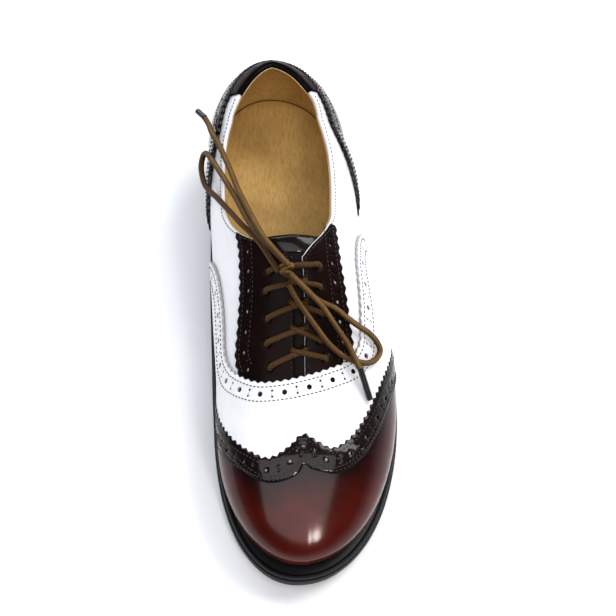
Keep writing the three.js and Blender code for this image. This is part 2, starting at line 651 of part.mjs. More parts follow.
// Evenly spaced chart points along a table of edge points
function edgeCurve(rows, count) {
  const spots = rows.map(({ at, round }) => chartPoint(at, round));
  const flat = spots.map((spot) => new THREE.Vector3(spot.x, spot.y, 0));
  const curve = new THREE.CatmullRomCurve3(flat, false, "centripetal");
  return curve.getSpacedPoints(count).map((p) => new THREE.Vector2(p.x, p.y));
}
// The same edge moved sideways by a clearance, to the left of its run
function beside(edge, clearance) {
  return edge.map((spot, k) => {
    const along = edge[Math.min(k + 1, edge.length - 1)].clone().sub(edge[Math.max(k - 1, 0)]).normalize();
    return spot.clone().add(new THREE.Vector2(-along.y, along.x).multiplyScalar(clearance));
  });
}
// A thick slab of space over the part of the leather between two edges
function patch(from, to, rows, low, high) {
  const points = [];
  const columns = from.length;
  const layer = (out) => Array.from({ length: rows + 1 }, (_, j) => from.map((spot, k) => {
    const p = spot.clone().lerp(to[k], j / rows);
    return points.push(skin(p.x, p.y, out)) - 1;
  }));
  const inner = layer(low);
  const outer = layer(high);
  const faces = [];
  for (let j = 0; j < rows; j += 1) {
    for (let k = 0; k + 1 < columns; k += 1) {
      faces.push(...quad(inner[j][k], inner[j][k + 1], inner[j + 1][k + 1], inner[j + 1][k]));
      faces.push(...quad(outer[j][k], outer[j + 1][k], outer[j + 1][k + 1], outer[j][k + 1]));
    }
    const last = columns - 1;
    faces.push(...quad(inner[j][0], inner[j + 1][0], outer[j + 1][0], outer[j][0]));
    faces.push(...quad(inner[j + 1][last], inner[j][last], outer[j][last], outer[j + 1][last]));
  }
  for (let k = 0; k + 1 < columns; k += 1) {
    faces.push(...quad(inner[0][k + 1], inner[0][k], outer[0][k], outer[0][k + 1]));
    faces.push(...quad(inner[rows][k], inner[rows][k + 1], outer[rows][k + 1], outer[rows][k]));
  }
  return solidFrom(points, faces);
}
const COLUMNS = 30; // across the toe, for the seams that two pieces share
const PATCH_INSIDE = -1.5;
const PATCH_OUTSIDE = 5;
function overlay(thickness, from, to, rows) {
  const leather = form(GAP + thickness).subtract(form(GAP));
  return leather.intersect(patch(from, to, rows, PATCH_INSIDE, PATCH_OUTSIDE)).subtract(below);
}

// A span of edge points from a two-sided table, one side, in chart points
function sideEdge(rows, side, stations) {
  const sign = side === "medial" ? -1 : 1;
  return stations.map((station) => chartPoint(station, sign * read(rows, side, station)));
}
const featherEdge = (stations) => stations.map(([station, sign]) => chartPoint(station, sign * UNDER));

function wingBand() {
  return overlay(THICK_LEATHER, edgeCurve(WING_EDGE, COLUMNS), edgeCurve(WING_SEAM, COLUMNS), 2);
}
function toeCap() {
  const seam = beside(edgeCurve(WING_SEAM, COLUMNS), SEAM_GAP);
  // the feather line from the medial end of the seam round the toe to its lateral end
  const [start, end] = [WING_SEAM[0].at, WING_SEAM[WING_SEAM.length - 1].at];
  const run = 2 - start - end;
  const SHORT = 0.02; // the line's ends stand off the seam's
  const line = seam.map((_, k) => {
    const way = SHORT + ((run - 2 * SHORT) * k) / COLUMNS;
    return start + way < 1 ? [start + way, -1] : [2 - start - way, 1];
  });
  return overlay(THIN_LEATHER, seam, featherEdge(line), 6);
}
function vamp() {
  const edge = edgeCurve(VAMP_EDGE, COLUMNS);
  const wing = beside(edgeCurve(WING_EDGE, COLUMNS), -SEAM_GAP);
  return overlay(MIDDLE_LEATHER, edge, wing, 4);
}
function counter() {
  const HALF = 14;
  const rows = COUNTER_EDGE;
  const half = (sign) => edgeCurve(rows.map(({ at, round }) => ({ at, round: sign * round })), HALF);
  const top = [...half(-1).reverse(), ...half(1).slice(1)];
  const BEYOND = 0.02; // the line runs on past the edge's ends
  const end = rows[rows.length - 1].at + BEYOND;
  const line = top.map((_, k) => {
    const way = (k - HALF) / HALF;
    return [Math.abs(way) * end, way < 0 ? -1 : 1];
  });
  return overlay(THICK_LEATHER, top, featherEdge(line), 4);
}
function collarStrip() {
  const STEPS = 7;
  const OFF_RIM = 0.004; // round share left free beside the opening
  const stations = [...spread(0, STRIP_END, STEPS), STRIP_END];
  const around = [...stations.map((s) => [s, -1]).reverse(), ...stations.slice(1).map((s) => [s, 1])];
  const rim = around.map(([s, sign]) => {
    const side = sign < 0 ? "medial" : "lateral";
    return chartPoint(s, sign * (openingRound(side, s) + OFF_RIM));
  });
  const low = around.map(([s, sign]) => chartPoint(s, sign * read(STRIP_EDGE, "round", s)));
  return overlay(THIN_LEATHER, rim, low, 2);
}
function facing(side) {
  const STEPS = 14;
  const [from, to] = [FACING_EDGE[0].at, FACING_EDGE[FACING_EDGE.length - 1].at];
  const sign = side === "medial" ? -1 : 1;
  const stations = [...spread(from, to, STEPS), to];
  const inner = stations.map((s) => {
    const { girth } = section(side, s);
    return chartPoint(s, sign * (openingRound(side, s) + GAP / girth));
  });
  return overlay(THIN_LEATHER, inner, sideEdge(FACING_EDGE, side, stations), 3).subtract(vampSpace);
}
function tongue() {
  const STEPS = 10;
  const ROWS_ACROSS = 8;
  const SPARE = 3; // the cutter reaches past both faces
  const [from, to] = [TONGUE_EDGE[0].at, TONGUE_EDGE[TONGUE_EDGE.length - 1].at];
  const stations = [...spread(from, to, STEPS), to];
  const outer = -WALL - GAP * 1.5;
  const inner = outer - TONGUE_WALL;
  const [medial, lateral] = ["medial", "lateral"].map((side) => sideEdge(TONGUE_EDGE, side, stations));
  const space = patch(medial, lateral, ROWS_ACROSS, inner - SPARE, outer + SPARE);
  return form(outer).subtract(form(inner)).intersect(space);
}
// The space that the vamp takes, with its clearance, cut from what runs up to it
const vampTop = beside(edgeCurve(VAMP_EDGE, COLUMNS), -SEAM_GAP);
const vampSpace = patch(vampTop, edgeCurve(WING_EDGE, COLUMNS), 4, PATCH_INSIDE, PATCH_OUTSIDE);

// Lace. Each point of a route: at = station, round = signed round share,
// over = height above the last in diameters of the lace.
const ROWS = [
  { atMedial: 0.646, medial: 0.194, atLateral: 0.637, lateral: 0.16, meet: 0.624 },
  { atMedial: 0.605, medial: 0.205, atLateral: 0.608, lateral: 0.125, meet: 0.588 },
  { atMedial: 0.565, medial: 0.187, atLateral: 0.564, lateral: 0.13, meet: 0.547 },
  { atMedial: 0.52, medial: 0.186, atLateral: 0.521, lateral: 0.12, meet: 0.513 },
  { atMedial: 0.49, medial: 0.159, atLateral: 0.486, lateral: 0.121, meet: 0.488 },
];
const LOOP_MEDIAL = [
  { at: 0.482, round: -0.056, over: 2.55 }, { at: 0.468, round: -0.088, over: 2.52 },
  { at: 0.451, round: -0.122, over: 2.48 },
  { at: 0.436, round: -0.156, over: 2.48 }, { at: 0.417, round: -0.180, over: 2.41 },
  { at: 0.392, round: -0.216, over: 1.72 },
  { at: 0.336, round: -0.287, over: 0.76 }, { at: 0.281, round: -0.362, over: 1.07 },
  { at: 0.234, round: -0.444, over: 1.28 },
  { at: 0.193, round: -0.580, over: 1.45 }, { at: 0.193, round: -0.623, over: 1.69 },
  { at: 0.210, round: -0.635, over: 1.83 },
  { at: 0.233, round: -0.620, over: 1.66 }, { at: 0.260, round: -0.581, over: 1.34 },
  { at: 0.310, round: -0.452, over: 0.66 },
  { at: 0.361, round: -0.335, over: 0.72 }, { at: 0.399, round: -0.254, over: 1.45 },
  { at: 0.425, round: -0.202, over: 1.45 },
  { at: 0.447, round: -0.166, over: 1.45 }, { at: 0.474, round: -0.124, over: 2.07 },
  { at: 0.497, round: -0.089, over: 2.48 },
];
const LOOP_LATERAL = [
  { at: 0.508, round: -0.020, over: 2.62 }, { at: 0.528, round: 0.030, over: 2.17 },
  { at: 0.543, round: 0.097, over: 1.59 },
  { at: 0.554, round: 0.195, over: 1.34 }, { at: 0.564, round: 0.252, over: 1.28 },
  { at: 0.576, round: 0.331, over: 1.31 },
  { at: 0.585, round: 0.415, over: 1.38 }, { at: 0.597, round: 0.481, over: 1.38 },
  { at: 0.609, round: 0.505, over: 1.38 },
  { at: 0.627, round: 0.473, over: 1.38 }, { at: 0.638, round: 0.414, over: 1.38 },
  { at: 0.639, round: 0.350, over: 1.38 },
  { at: 0.634, round: 0.273, over: 1.38 }, { at: 0.623, round: 0.205, over: 1.52 },
  { at: 0.608, round: 0.142, over: 2.00 },
  { at: 0.586, round: 0.080, over: 2.24 }, { at: 0.559, round: 0.019, over: 2.34 },
  { at: 0.539, round: -0.019, over: 2.48 },
  { at: 0.518, round: -0.049, over: 2.55 },
];
const END_MEDIAL = [
  { at: 0.486, round: -0.043, over: 3.59 }, { at: 0.472, round: -0.071, over: 3.62 },
  { at: 0.455, round: -0.103, over: 3.66 },
  { at: 0.442, round: -0.127, over: 3.69 }, { at: 0.424, round: -0.146, over: 3.45 },
  { at: 0.392, round: -0.181, over: 2.31 },
  { at: 0.360, round: -0.217, over: 1.52 }, { at: 0.323, round: -0.261, over: 1.00 },
  { at: 0.281, round: -0.304, over: 0.72 },
  { at: 0.242, round: -0.349, over: 0.69 }, { at: 0.202, round: -0.405, over: 0.90 },
  { at: 0.171, round: -0.465, over: 1.41 },
  { at: 0.143, round: -0.515, over: 1.62 }, { at: 0.130, round: -0.545, over: 2.14 },
];
const END_LATERAL = [
  { at: 0.503, round: -0.037, over: 3.76 }, { at: 0.516, round: -0.002, over: 3.72 },
  { at: 0.532, round: 0.043, over: 3.38 },
  { at: 0.552, round: 0.106, over: 2.79 }, { at: 0.580, round: 0.182, over: 1.86 },
  { at: 0.594, round: 0.221, over: 1.79 },
  { at: 0.607, round: 0.253, over: 2.21 }, { at: 0.634, round: 0.304, over: 2.55 },
  { at: 0.651, round: 0.345, over: 2.21 },
];
const AGLET_MEDIAL = [
  { at: 0.128, round: -0.549, over: 2.24 }, { at: 0.116, round: -0.585, over: 3.69 },
];
const AGLET_LATERAL = [
  { at: 0.653, round: 0.352, over: 2.14 }, { at: 0.702, round: 0.450, over: 1.14 },
];
const KNOT = { at: 0.497, round: -0.053, over: 2.69, across: 1.38, along: 1.86, thick: 1 };

function onLeather({ at, round, over }) {
  const spot = chartPoint(at, round);
  return skin(spot.x, spot.y, over * LACE);
}
function tube(route, diameter, steps) {
  const SIDES = 8;
  const circle = new THREE.Shape();
  circle.absarc(0, 0, diameter / 2, 0, 2 * Math.PI);
  const path = new THREE.CatmullRomCurve3(route.map(onLeather), false, "centripetal");
  const shape = new THREE.Shape(circle.getSpacedPoints(SIDES).slice(0, SIDES));
  return solidOf(new THREE.ExtrudeGeometry(shape, { steps, bevelEnabled: false, extrudePath: path }));
}
// One row: a strand from each eyelet, crossed over the slot
function laceRow({ atMedial, medial, atLateral, lateral, meet }) {
  const STEPS = 3;
  const PAST_SLOT = 0.03;
  const over = (GAP + THIN_LEATHER + GAP) / LACE + 1 / 2;
  const strand = (at, from, to) => [0, 0.5, 1].map((t) => (
    { at: at + (meet - at) * t, round: from + (to - from) * t, over }));
  return tube(strand(atMedial, -medial, PAST_SLOT), LACE, STEPS)
    .add(tube(strand(atLateral, lateral, -PAST_SLOT), LACE, STEPS));
}
function knot(clearance) {
  const AHEAD = 0.01; // share of the length to a spot in front of the knot
  const { at, round, over, across, along, thick } = KNOT;
  const heart = onLeather(KNOT);
  const up = onLeather({ at, round, over: over + 1 }).sub(heart).normalize();
  const ahead = onLeather({ at: at - AHEAD, round, over }).sub(heart).normalize();
  const side = ahead.clone().cross(up).normalize();
  const ball = new THREE.SphereGeometry(1, 8, 7);
  ball.scale(across * LACE + clearance, along * LACE + clearance, thick * LACE + clearance);
  ball.applyMatrix4(new THREE.Matrix4().makeBasis(side, up.clone().cross(side), up));
  ball.translate(heart.x, heart.y, heart.z);
  return solidOf(ball);
}
const knotSpace = knot(GAP);
const cord = (route, steps) => tube(route, LACE, steps).subtract(knotSpace);

const group = new THREE.Group();
function place(name, solid, color, roughness) {
  const mesh = new THREE.Mesh(
    toGeometry(solid), new THREE.MeshStandardMaterial({ color, roughness, metalness: 0 }));
  mesh.name = name;
  group.add(mesh);
}
place("outsole", outsole(), 0x151414, 0.7);
place("welt", welt(), 0x1b1a1a, 0.6);
place("heel", heelBlock(), 0x161414, 0.6);
place("top_lift", topLift(), 0x121212, 0.8);
place("insole", insole, 0xa57d3c, 0.6);
place("upper", upper, 0xeeedf0, 0.4);
place("tongue", tongue(), 0x24120f, 0.3);
place("toe_cap", toeCap(), 0x55150f, 0.15);
place("wing_band", wingBand(), 0x2b1512, 0.25);
place("vamp", vamp(), 0xf2f1f4, 0.4);
place("facing_medial", facing("medial"), 0x24120f, 0.25);
place("facing_lateral", facing("lateral"), 0x24120f, 0.25);
place("counter", counter(), 0x2b1512, 0.25);
place("collar_strip", collarStrip(), 0x2b1512, 0.25);
ROWS.forEach((row, i) => place(`lace_row_${i + 1}`, laceRow(row), 0x8a5a24, 0.6));
place("lace_knot", knot(0), 0x8a5a24, 0.6);
place("lace_loop_medial", cord(LOOP_MEDIAL, 26), 0x8a5a24, 0.6);
place("lace_loop_lateral", cord(LOOP_LATERAL, 20), 0x8a5a24, 0.6);
place("lace_end_medial", cord(END_MEDIAL, 15), 0x8a5a24, 0.6);
place("lace_end_lateral", cord(END_LATERAL, 10), 0x8a5a24, 0.6);
place("aglet_medial", tube(AGLET_MEDIAL, AGLET, 1), 0x1a1513, 0.4);
place("aglet_lateral", tube(AGLET_LATERAL, AGLET, 1), 0x1a1513, 0.4);

// The outsole is the longest and widest piece: its middle goes to x = 0
const soleBox = new THREE.Box3().setFromObject(group.getObjectByName("outsole"));
const middle = soleBox.getCenter(new THREE.Vector3());
for (const mesh of group.children) mesh.geometry.translate(-middle.x, -middle.y, 0);

export default group;
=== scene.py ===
# A left wingtip oxford shoe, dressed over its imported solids.
# Work is in millimetres in the frame of the shoe's axis (toe along -Y) and goes to metres when a mesh is made.
import math

import bpy
import numpy as np
from mathutils import Matrix, Vector, kdtree
from mathutils.geometry import delaunay_2d_cdt


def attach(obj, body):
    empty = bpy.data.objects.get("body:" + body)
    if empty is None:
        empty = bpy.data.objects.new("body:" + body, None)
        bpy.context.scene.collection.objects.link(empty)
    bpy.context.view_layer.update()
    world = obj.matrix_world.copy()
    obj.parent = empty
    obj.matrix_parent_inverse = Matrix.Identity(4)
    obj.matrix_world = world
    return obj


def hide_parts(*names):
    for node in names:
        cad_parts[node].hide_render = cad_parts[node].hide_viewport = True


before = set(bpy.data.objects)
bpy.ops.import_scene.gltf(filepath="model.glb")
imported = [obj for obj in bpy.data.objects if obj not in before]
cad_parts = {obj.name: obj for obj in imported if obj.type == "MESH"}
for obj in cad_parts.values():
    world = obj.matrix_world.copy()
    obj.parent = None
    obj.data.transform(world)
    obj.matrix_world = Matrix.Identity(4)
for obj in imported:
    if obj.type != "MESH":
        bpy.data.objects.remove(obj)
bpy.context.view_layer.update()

# Driving sizes, as in the solids
LENGTH = 270.0
BALL_WIDTH = 94.5
INSTEP = 70.0
SOLE_THICKNESS = 13.0
HEEL_RISE = 17.0
TOE_SPRING = 5.5
WELT_THICKNESS = 3.0
WELT_LIP = 6.0
TOP_LIFT = 6.0
INSOLE_THICKNESS = 3.4
HEEL_PAD = 9.0
WALL = 2.2
THIN = 1.0
MIDDLE = 1.4
THICK = 1.8
TONGUE_WALL = 2.4
GAP = 0.3
SEAT_GAP = 0.4
SLOT = 5.0
HEEL_LENGTH = 74.0
LACE = 2.9
AGLET = 3.2
FOOT = 0.995  # round share at which the leather ends
ROUTE_SPACING = 0.6
SHIFT = 8.236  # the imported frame's x = 0 in the frame of the shoe's axis
HEEL_POLE = 0.16
TOE_POLE = 0.8
TOE_FALL = 0.27
HEEL_CLIMB = 0.2

# Plan outlines: heel end, toe end, heel power, toe power, rows of (share of the length, share of the ball width)
SOLE = {
    "medial": (0, 1, 2, 2.3, [
        (0.13, 0.34), (0.22, 0.358), (0.32, 0.378), (0.42, 0.395), (0.52, 0.404), (0.61, 0.413),
        (0.7, 0.418),
    ]),
    "lateral": (0, 1, 2, 2.03, [
        (0.13, 0.363), (0.24, 0.393), (0.35, 0.433), (0.44, 0.49), (0.52, 0.56), (0.58, 0.588),
        (0.62, 0.592),
    ]),
}
FEATHER = {
    "medial": (0.018, 0.967, 2, 2, [
        (0.13, 0.303), (0.25, 0.3), (0.38, 0.3), (0.5, 0.315), (0.6, 0.352), (0.68, 0.377), (0.737, 0.384),
    ]),
    "lateral": (0.018, 0.967, 2, 2, [
        (0.13, 0.312), (0.25, 0.337), (0.36, 0.375), (0.46, 0.437), (0.55, 0.51), (0.6, 0.538),
        (0.641, 0.545),
    ]),
}
WIDEST = {
    "medial": (0.012, 0.972, 2, 2, [
        (0.16, 0.343), (0.22, 0.365), (0.32, 0.375), (0.42, 0.377), (0.515, 0.377), (0.6, 0.376),
        (0.68, 0.386), (0.737, 0.393),
    ]),
    "lateral": (0.012, 0.972, 2, 2, [
        (0.16, 0.382), (0.23, 0.43), (0.35, 0.442), (0.435, 0.461), (0.492, 0.489), (0.561, 0.535),
        (0.61, 0.552), (0.641, 0.555),
    ]),
}
# Share of the length, share of the heel rise, share of the toe spring, share of the slab
SEAT = [(0, 1, 0, 0.62), (0.18, 1, 0, 0.62), (0.26, 0.93, 0, 0.62), (0.34, 0.79, 0, 0.66), (0.42, 0.58, 0, 0.76),
        (0.5, 0.31, 0, 0.88), (0.58, 0.09, 0, 0.98), (0.64, 0, 0, 1), (0.78, 0, 0, 1), (0.86, 0, 0.16, 1),
        (0.93, 0, 0.5, 1), (1, 0, 1, 1)]
# Station, waist medial, waist lateral, crown, power medial, power lateral, ridge
SECTIONS = [
    (0, 0.284, 0.284, 0.929, 2.35, 2.35, 0), (0.08, 0.284, 0.284, 0.929, 2.05, 1.95, 0),
    (0.16, 0.264, 0.271, 0.929, 2.2, 1.8, 0), (0.25, 0.243, 0.257, 0.871, 2.3, 1.8, 0.004),
    (0.34, 0.264, 0.264, 0.951, 2.15, 1.6, 0.012), (0.4, 0.293, 0.293, 0.996, 1.95, 1.7, 0.028),
    (0.44, 0.307, 0.307, 1, 1.9, 1.75, 0.043), (0.5, 0.321, 0.307, 0.953, 1.9, 1.8, 0.053),
    (0.58, 0.3, 0.257, 0.836, 1.9, 1.85, 0.047), (0.66, 0.236, 0.207, 0.7, 2, 1.95, 0.035),
    (0.73, 0.207, 0.193, 0.593, 2.05, 2.05, 0.032), (0.8, 0.181, 0.181, 0.52, 2.15, 2.15, 0.032),
    (0.9, 0.151, 0.151, 0.52, 2.25, 2.25, 0.032), (1, 0.122, 0.122, 0.52, 2.35, 2.35, 0.032),
]
# The opening: station, round share of its edge on the medial and on the lateral side
OPENING = [
    (0, 0.335, 0.335), (0.04, 0.285, 0.295), (0.08, 0.272, 0.282), (0.12, 0.283, 0.31), (0.16, 0.33, 0.328),
    (0.2, 0.385, 0.345), (0.25, 0.418, 0.36), (0.305, 0.436, 0.362), (0.335, 0.44, 0.352),
    (0.37, 0.4, 0.315), (0.4, 0.33, 0.25), (0.425, 0.24, 0.18), (0.447, 0.13, 0.107), (0.461, 0.07, 0.065),
    (0.472, 0.035, 0.035),
]
SLOT_END = 0.672
# Edges of the overlays: station, signed round share (negative is medial)
WING_EDGE = [
    (0.575, -1.04), (0.62, -0.87), (0.668, -0.75), (0.713, -0.653), (0.758, -0.531), (0.788, -0.409),
    (0.808, -0.306), (0.806, -0.2), (0.786, -0.09), (0.768, 0.003), (0.783, 0.103), (0.796, 0.205),
    (0.777, 0.331), (0.744, 0.421), (0.695, 0.506), (0.641, 0.599), (0.595, 0.71), (0.56, 0.86),
    (0.53, 1.04),
]
WING_SEAM = [
    (0.655, -1.04), (0.7, -0.87), (0.74, -0.74), (0.785, -0.6), (0.841, -0.457), (0.88, -0.365),
    (0.918, -0.255), (0.958, -0.166), (1, 0.09), (0.958, 0.135), (0.9, 0.23), (0.878, 0.3), (0.845, 0.37),
    (0.805, 0.455), (0.758, 0.548), (0.707, 0.625), (0.657, 0.72), (0.62, 0.86), (0.59, 1.04),
]
VAMP_EDGE = [
    (0.375, -1.04), (0.382, -0.86), (0.402, -0.7), (0.436, -0.6), (0.492, -0.545), (0.539, -0.54),
    (0.594, -0.555), (0.628, -0.5), (0.655, -0.385), (0.669, -0.281), (0.673, -0.126), (0.667, 0.045),
    (0.657, 0.165), (0.638, 0.303), (0.608, 0.375), (0.568, 0.389), (0.499, 0.407), (0.435, 0.46),
    (0.39, 0.56), (0.362, 0.7), (0.35, 0.86), (0.345, 1.04),
]
COUNTER_EDGE = [
    (0, 0.45), (0.05, 0.415), (0.1, 0.38), (0.127, 0.392), (0.153, 0.424), (0.178, 0.468), (0.203, 0.516),
    (0.23, 0.575), (0.252, 0.645), (0.272, 0.73), (0.292, 0.82), (0.311, 0.92), (0.33, 1.04),
]
STRIP_EDGE = [(0, 0.43), (0.05, 0.396), (0.1, 0.365)]
STRIP_END = 0.1
# Station, medial and lateral round share
FACING_EDGE = [
    (0.4, 0.33, 0.285), (0.43, 0.328, 0.271), (0.467, 0.338, 0.264), (0.517, 0.359, 0.274),
    (0.565, 0.398, 0.295), (0.616, 0.44, 0.327), (0.645, 0.42, 0.34), (0.66, 0.4, 0.34),
]
TONGUE_EDGE = [(0.425, 0.27, 0.26), (0.5, 0.25, 0.25), (0.6, 0.24, 0.24), (0.69, 0.2, 0.2)]
# Lace rows: station and round share of the medial eyelet, of the lateral eyelet, station where the strands meet
ROWS = [
    (0.646, 0.194, 0.637, 0.16, 0.624), (0.605, 0.205, 0.608, 0.125, 0.588),
    (0.565, 0.187, 0.564, 0.13, 0.547), (0.52, 0.186, 0.521, 0.12, 0.513),
    (0.49, 0.159, 0.486, 0.121, 0.488),
]


def read(rows, column, at):
    """Monotone cubic through one column of a table."""
    xs = np.array([row[0] for row in rows], float)
    ys = np.array([row[column] for row in rows], float)
    step = np.diff(xs)
    slope = np.diff(ys) / step
    tangent = np.zeros(len(xs))
    tangent[0] = slope[0]
    tangent[-1] = slope[-1]
    for i in range(1, len(xs) - 1):
        if slope[i - 1] * slope[i] > 0:
            before = 2 * step[i] + step[i - 1]
            after = step[i] + 2 * step[i - 1]
            tangent[i] = (before + after) / (before / slope[i - 1] + after / slope[i])
    at = np.clip(np.asarray(at, float), xs[0], xs[-1])
    i = np.clip(np.searchsorted(xs, at, side="right") - 1, 0, len(step) - 1)
    t = (at - xs[i]) / step[i]
    return ((2 * t**3 - 3 * t**2 + 1) * ys[i] + (t**3 - 2 * t**2 + t) * step[i] * tangent[i]
            + (3 * t**2 - 2 * t**3) * ys[i + 1] + (t**3 - t**2) * step[i] * tangent[i + 1])


def half_width(outline, at):
    heel, toe, heel_power, toe_power, rows = outline
    at = np.asarray(at, float)
    first, last = rows[0], rows[-1]
    back = np.clip((first[0] - at) / (first[0] - heel), 0, 1)
    front = np.clip((at - last[0]) / (toe - last[0]), 0, 1)
    width = np.where(at < first[0], first[1] * (1 - back**heel_power) ** (1 / heel_power), read(rows, 1, at))
    width = np.where(at > last[0], last[1] * (1 - front**toe_power) ** (1 / toe_power), width)
    return BALL_WIDTH * width


def seat_height(at):
    return SOLE_THICKNESS + HEEL_RISE * read(SEAT, 1, at) + TOE_SPRING * read(SEAT, 2, at)


def underside(at):
    slab = SOLE_THICKNESS - WELT_THICKNESS - GAP
    return seat_height(at) - WELT_THICKNESS - GAP - slab * read(SEAT, 3, at)


def fan(station):
    """Pole and turn of the fan-shaped sections at the heel and the toe."""
    station = np.asarray(station, float)
    turn = np.where(station < HEEL_POLE, -(math.pi / 2) * (1 - station / HEEL_POLE), 0.0)
    turn = np.where(station > TOE_POLE, (math.pi / 2) * (station - TOE_POLE) / (1 - TOE_POLE), turn)
    return np.clip(station, HEEL_POLE, TOE_POLE), turn


def reach(outline, sign, pole, pole_x, turn):
    low = np.where(turn < 0, outline[0], pole).astype(float)
    high = np.where(turn < 0, pole, outline[1]).astype(float)
    for _ in range(40):
        middle = (low + high) / 2
        less = np.arctan2((middle - pole) * LENGTH, half_width(outline, middle) - sign * pole_x) < turn
        low = np.where(less, middle, low)
        high = np.where(less, high, middle)
    return np.hypot((low - pole) * LENGTH, half_width(outline, low) - sign * pole_x)


class Side:
    """Sections of one side of the last, tabled over station and round share."""

    TOP = 1.12  # the tables go on a little below the feather line

    def __init__(self, name, stations=1281, rounds=321):
        sign = -1 if name == "medial" else 1
        s = np.linspace(0, 1, stations)
        pole, turn = fan(s)
        ridge = BALL_WIDTH * read(SECTIONS, 6, pole)
        far = reach(WIDEST[name], sign, pole, ridge, turn)[:, None]
        foot = reach(FEATHER[name], sign, pole, ridge, turn)[:, None]
        foot_height = seat_height(pole[:, None] + foot * np.sin(turn)[:, None] / LENGTH)
        waist = foot_height + INSTEP * read(SECTIONS, 1 if sign < 0 else 2, s)[:, None]
        crown = (seat_height(pole) + INSTEP * read(SECTIONS, 3, pole))[:, None]
        power = 2 / read(SECTIONS, 4 if sign < 0 else 5, s)[:, None]
        fall = (np.where(turn < 0, HEEL_CLIMB, TOE_FALL) * np.sin(turn))[:, None]
        angle = np.linspace(0, math.pi / 2, 161)[None, :]
        r_up = far * np.sin(angle) ** power
        z_up = waist + (crown - waist - fall * r_up) * np.maximum(np.cos(angle), 0) ** power
        q = np.concatenate([np.linspace(0, 1, 25)[1:], [1.1, 1.25, 1.45, 1.7]])[None, :]
        r = np.concatenate([r_up, far - (far - foot) * q * q], 1)
        z = np.concatenate([z_up, waist - (waist - foot_height) * q], 1)
        steps = np.hypot(np.diff(r, axis=1), np.diff(z, axis=1))
        run = np.concatenate([np.zeros((stations, 1)), np.cumsum(steps, 1)], 1)
        self.girth = run[:, 161 + 23]
        shares = np.linspace(0, self.TOP, rounds)
        self.r = np.array([np.interp(shares * self.girth[i], run[i], r[i]) for i in range(stations)])
        self.z = np.array([np.interp(shares * self.girth[i], run[i], z[i]) for i in range(stations)])

    def girth_at(self, s):
        return np.interp(s, np.linspace(0, 1, len(self.girth)), self.girth)

    def section(self, s, g):
        stations, rounds = self.r.shape
        u = np.clip(s, 0, 1) * (stations - 1)
        v = np.clip(g, 0, self.TOP) / self.TOP * (rounds - 1)
        i = np.minimum(u.astype(int), stations - 2)
        j = np.minimum(v.astype(int), rounds - 2)
        a, b = u - i, v - j
        out = []
        for t in (self.r, self.z):
            near = t[i, j] * (1 - a) + t[i + 1, j] * a
            out.append(near * (1 - b) + (t[i, j + 1] * (1 - a) + t[i + 1, j + 1] * a) * b)
        return out


SIDES = {"medial": Side("medial"), "lateral": Side("lateral")}


def chart_to_last(x, y):
    """Station and round share of points of the leather laid flat."""
    pole = np.clip(y / LENGTH, HEEL_POLE, TOE_POLE)
    ridge = BALL_WIDTH * read(SECTIONS, 6, pole)
    medial = x < ridge
    turn = np.arctan2(y - pole * LENGTH, np.abs(x - ridge)) / (math.pi / 2)
    at = y / LENGTH
    s = np.where(at < HEEL_POLE, HEEL_POLE * (1 + turn), at)
    s = np.where(at > TOE_POLE, TOE_POLE + (1 - TOE_POLE) * turn, s)
    r = np.hypot(x - ridge, y - pole * LENGTH)
    return medial, s, r / np.where(medial, SIDES["medial"].girth_at(s), SIDES["lateral"].girth_at(s))


def chart_point(s, g):
    """Chart point for a station and a signed round share."""
    s, g = np.asarray(s, float), np.asarray(g, float)
    pole, turn = fan(s)
    girth = np.where(g < 0, SIDES["medial"].girth_at(s), SIDES["lateral"].girth_at(s))
    r = g * girth
    x = BALL_WIDTH * read(SECTIONS, 6, pole) + r * np.cos(turn)
    return np.stack([x, pole * LENGTH + np.abs(r) * np.sin(turn)], -1)


def on_last(x, y):
    medial, s, g = chart_to_last(x, y)
    pole, turn = fan(s)
    r_medial, z_medial = SIDES["medial"].section(s, g)
    r_lateral, z_lateral = SIDES["lateral"].section(s, g)
    r = np.where(medial, -r_medial, r_lateral)
    x = BALL_WIDTH * read(SECTIONS, 6, pole) + r * np.cos(turn)
    y = LENGTH * (0.5 - pole) - np.abs(r) * np.sin(turn)
    return np.stack([x, y, np.where(medial, z_medial, z_lateral)], -1)


def skin(chart, out):
    """Points of the last at chart points, moved out along its normal."""
    chart = np.asarray(chart, float)
    x, y = chart[..., 0], chart[..., 1]
    step = 1.2
    across = on_last(x + step, y) - on_last(x - step, y)
    along = on_last(x, y + step) - on_last(x, y - step)
    normal = np.cross(along, across)
    normal /= np.linalg.norm(normal, axis=-1, keepdims=True)
    return on_last(x, y) + normal * np.broadcast_to(out, x.shape)[..., None]


# Soft creases: points (station, signed round), depth, half width; a negative depth is a ridge
CREASES = [
    ([(0.69, -0.34), (0.705, -0.12), (0.70, 0.1), (0.685, 0.28)], 0.22, 3.2),
    ([(0.735, -0.45), (0.742, -0.2), (0.735, 0.05)], 0.16, 2.6),
    ([(0.715, 0.12), (0.712, 0.3), (0.69, 0.42)], 0.2, 2.8),
    ([(0.66, -0.56), (0.70, -0.5), (0.725, -0.42)], 0.2, 2.4),
    ([(0.6, 0.5), (0.64, 0.48), (0.675, 0.4)], 0.18, 2.4),
    ([(0.45, -0.75), (0.5, -0.62), (0.55, -0.6)], 0.3, 4.0),
    ([(0.27, -0.56), (0.33, -0.62), (0.37, -0.72)], 0.3, 4.2),
    ([(0.3, -0.48), (0.36, -0.5), (0.42, -0.47)], 0.25, 3.4),
    ([(0.27, 0.5), (0.32, 0.56), (0.36, 0.68)], 0.3, 4.2),
    ([(0.36, 0.42), (0.41, 0.42), (0.46, 0.36)], 0.22, 3.4),
    ([(0.4, 0.75), (0.46, 0.66), (0.52, 0.62)], 0.28, 4.2),
]


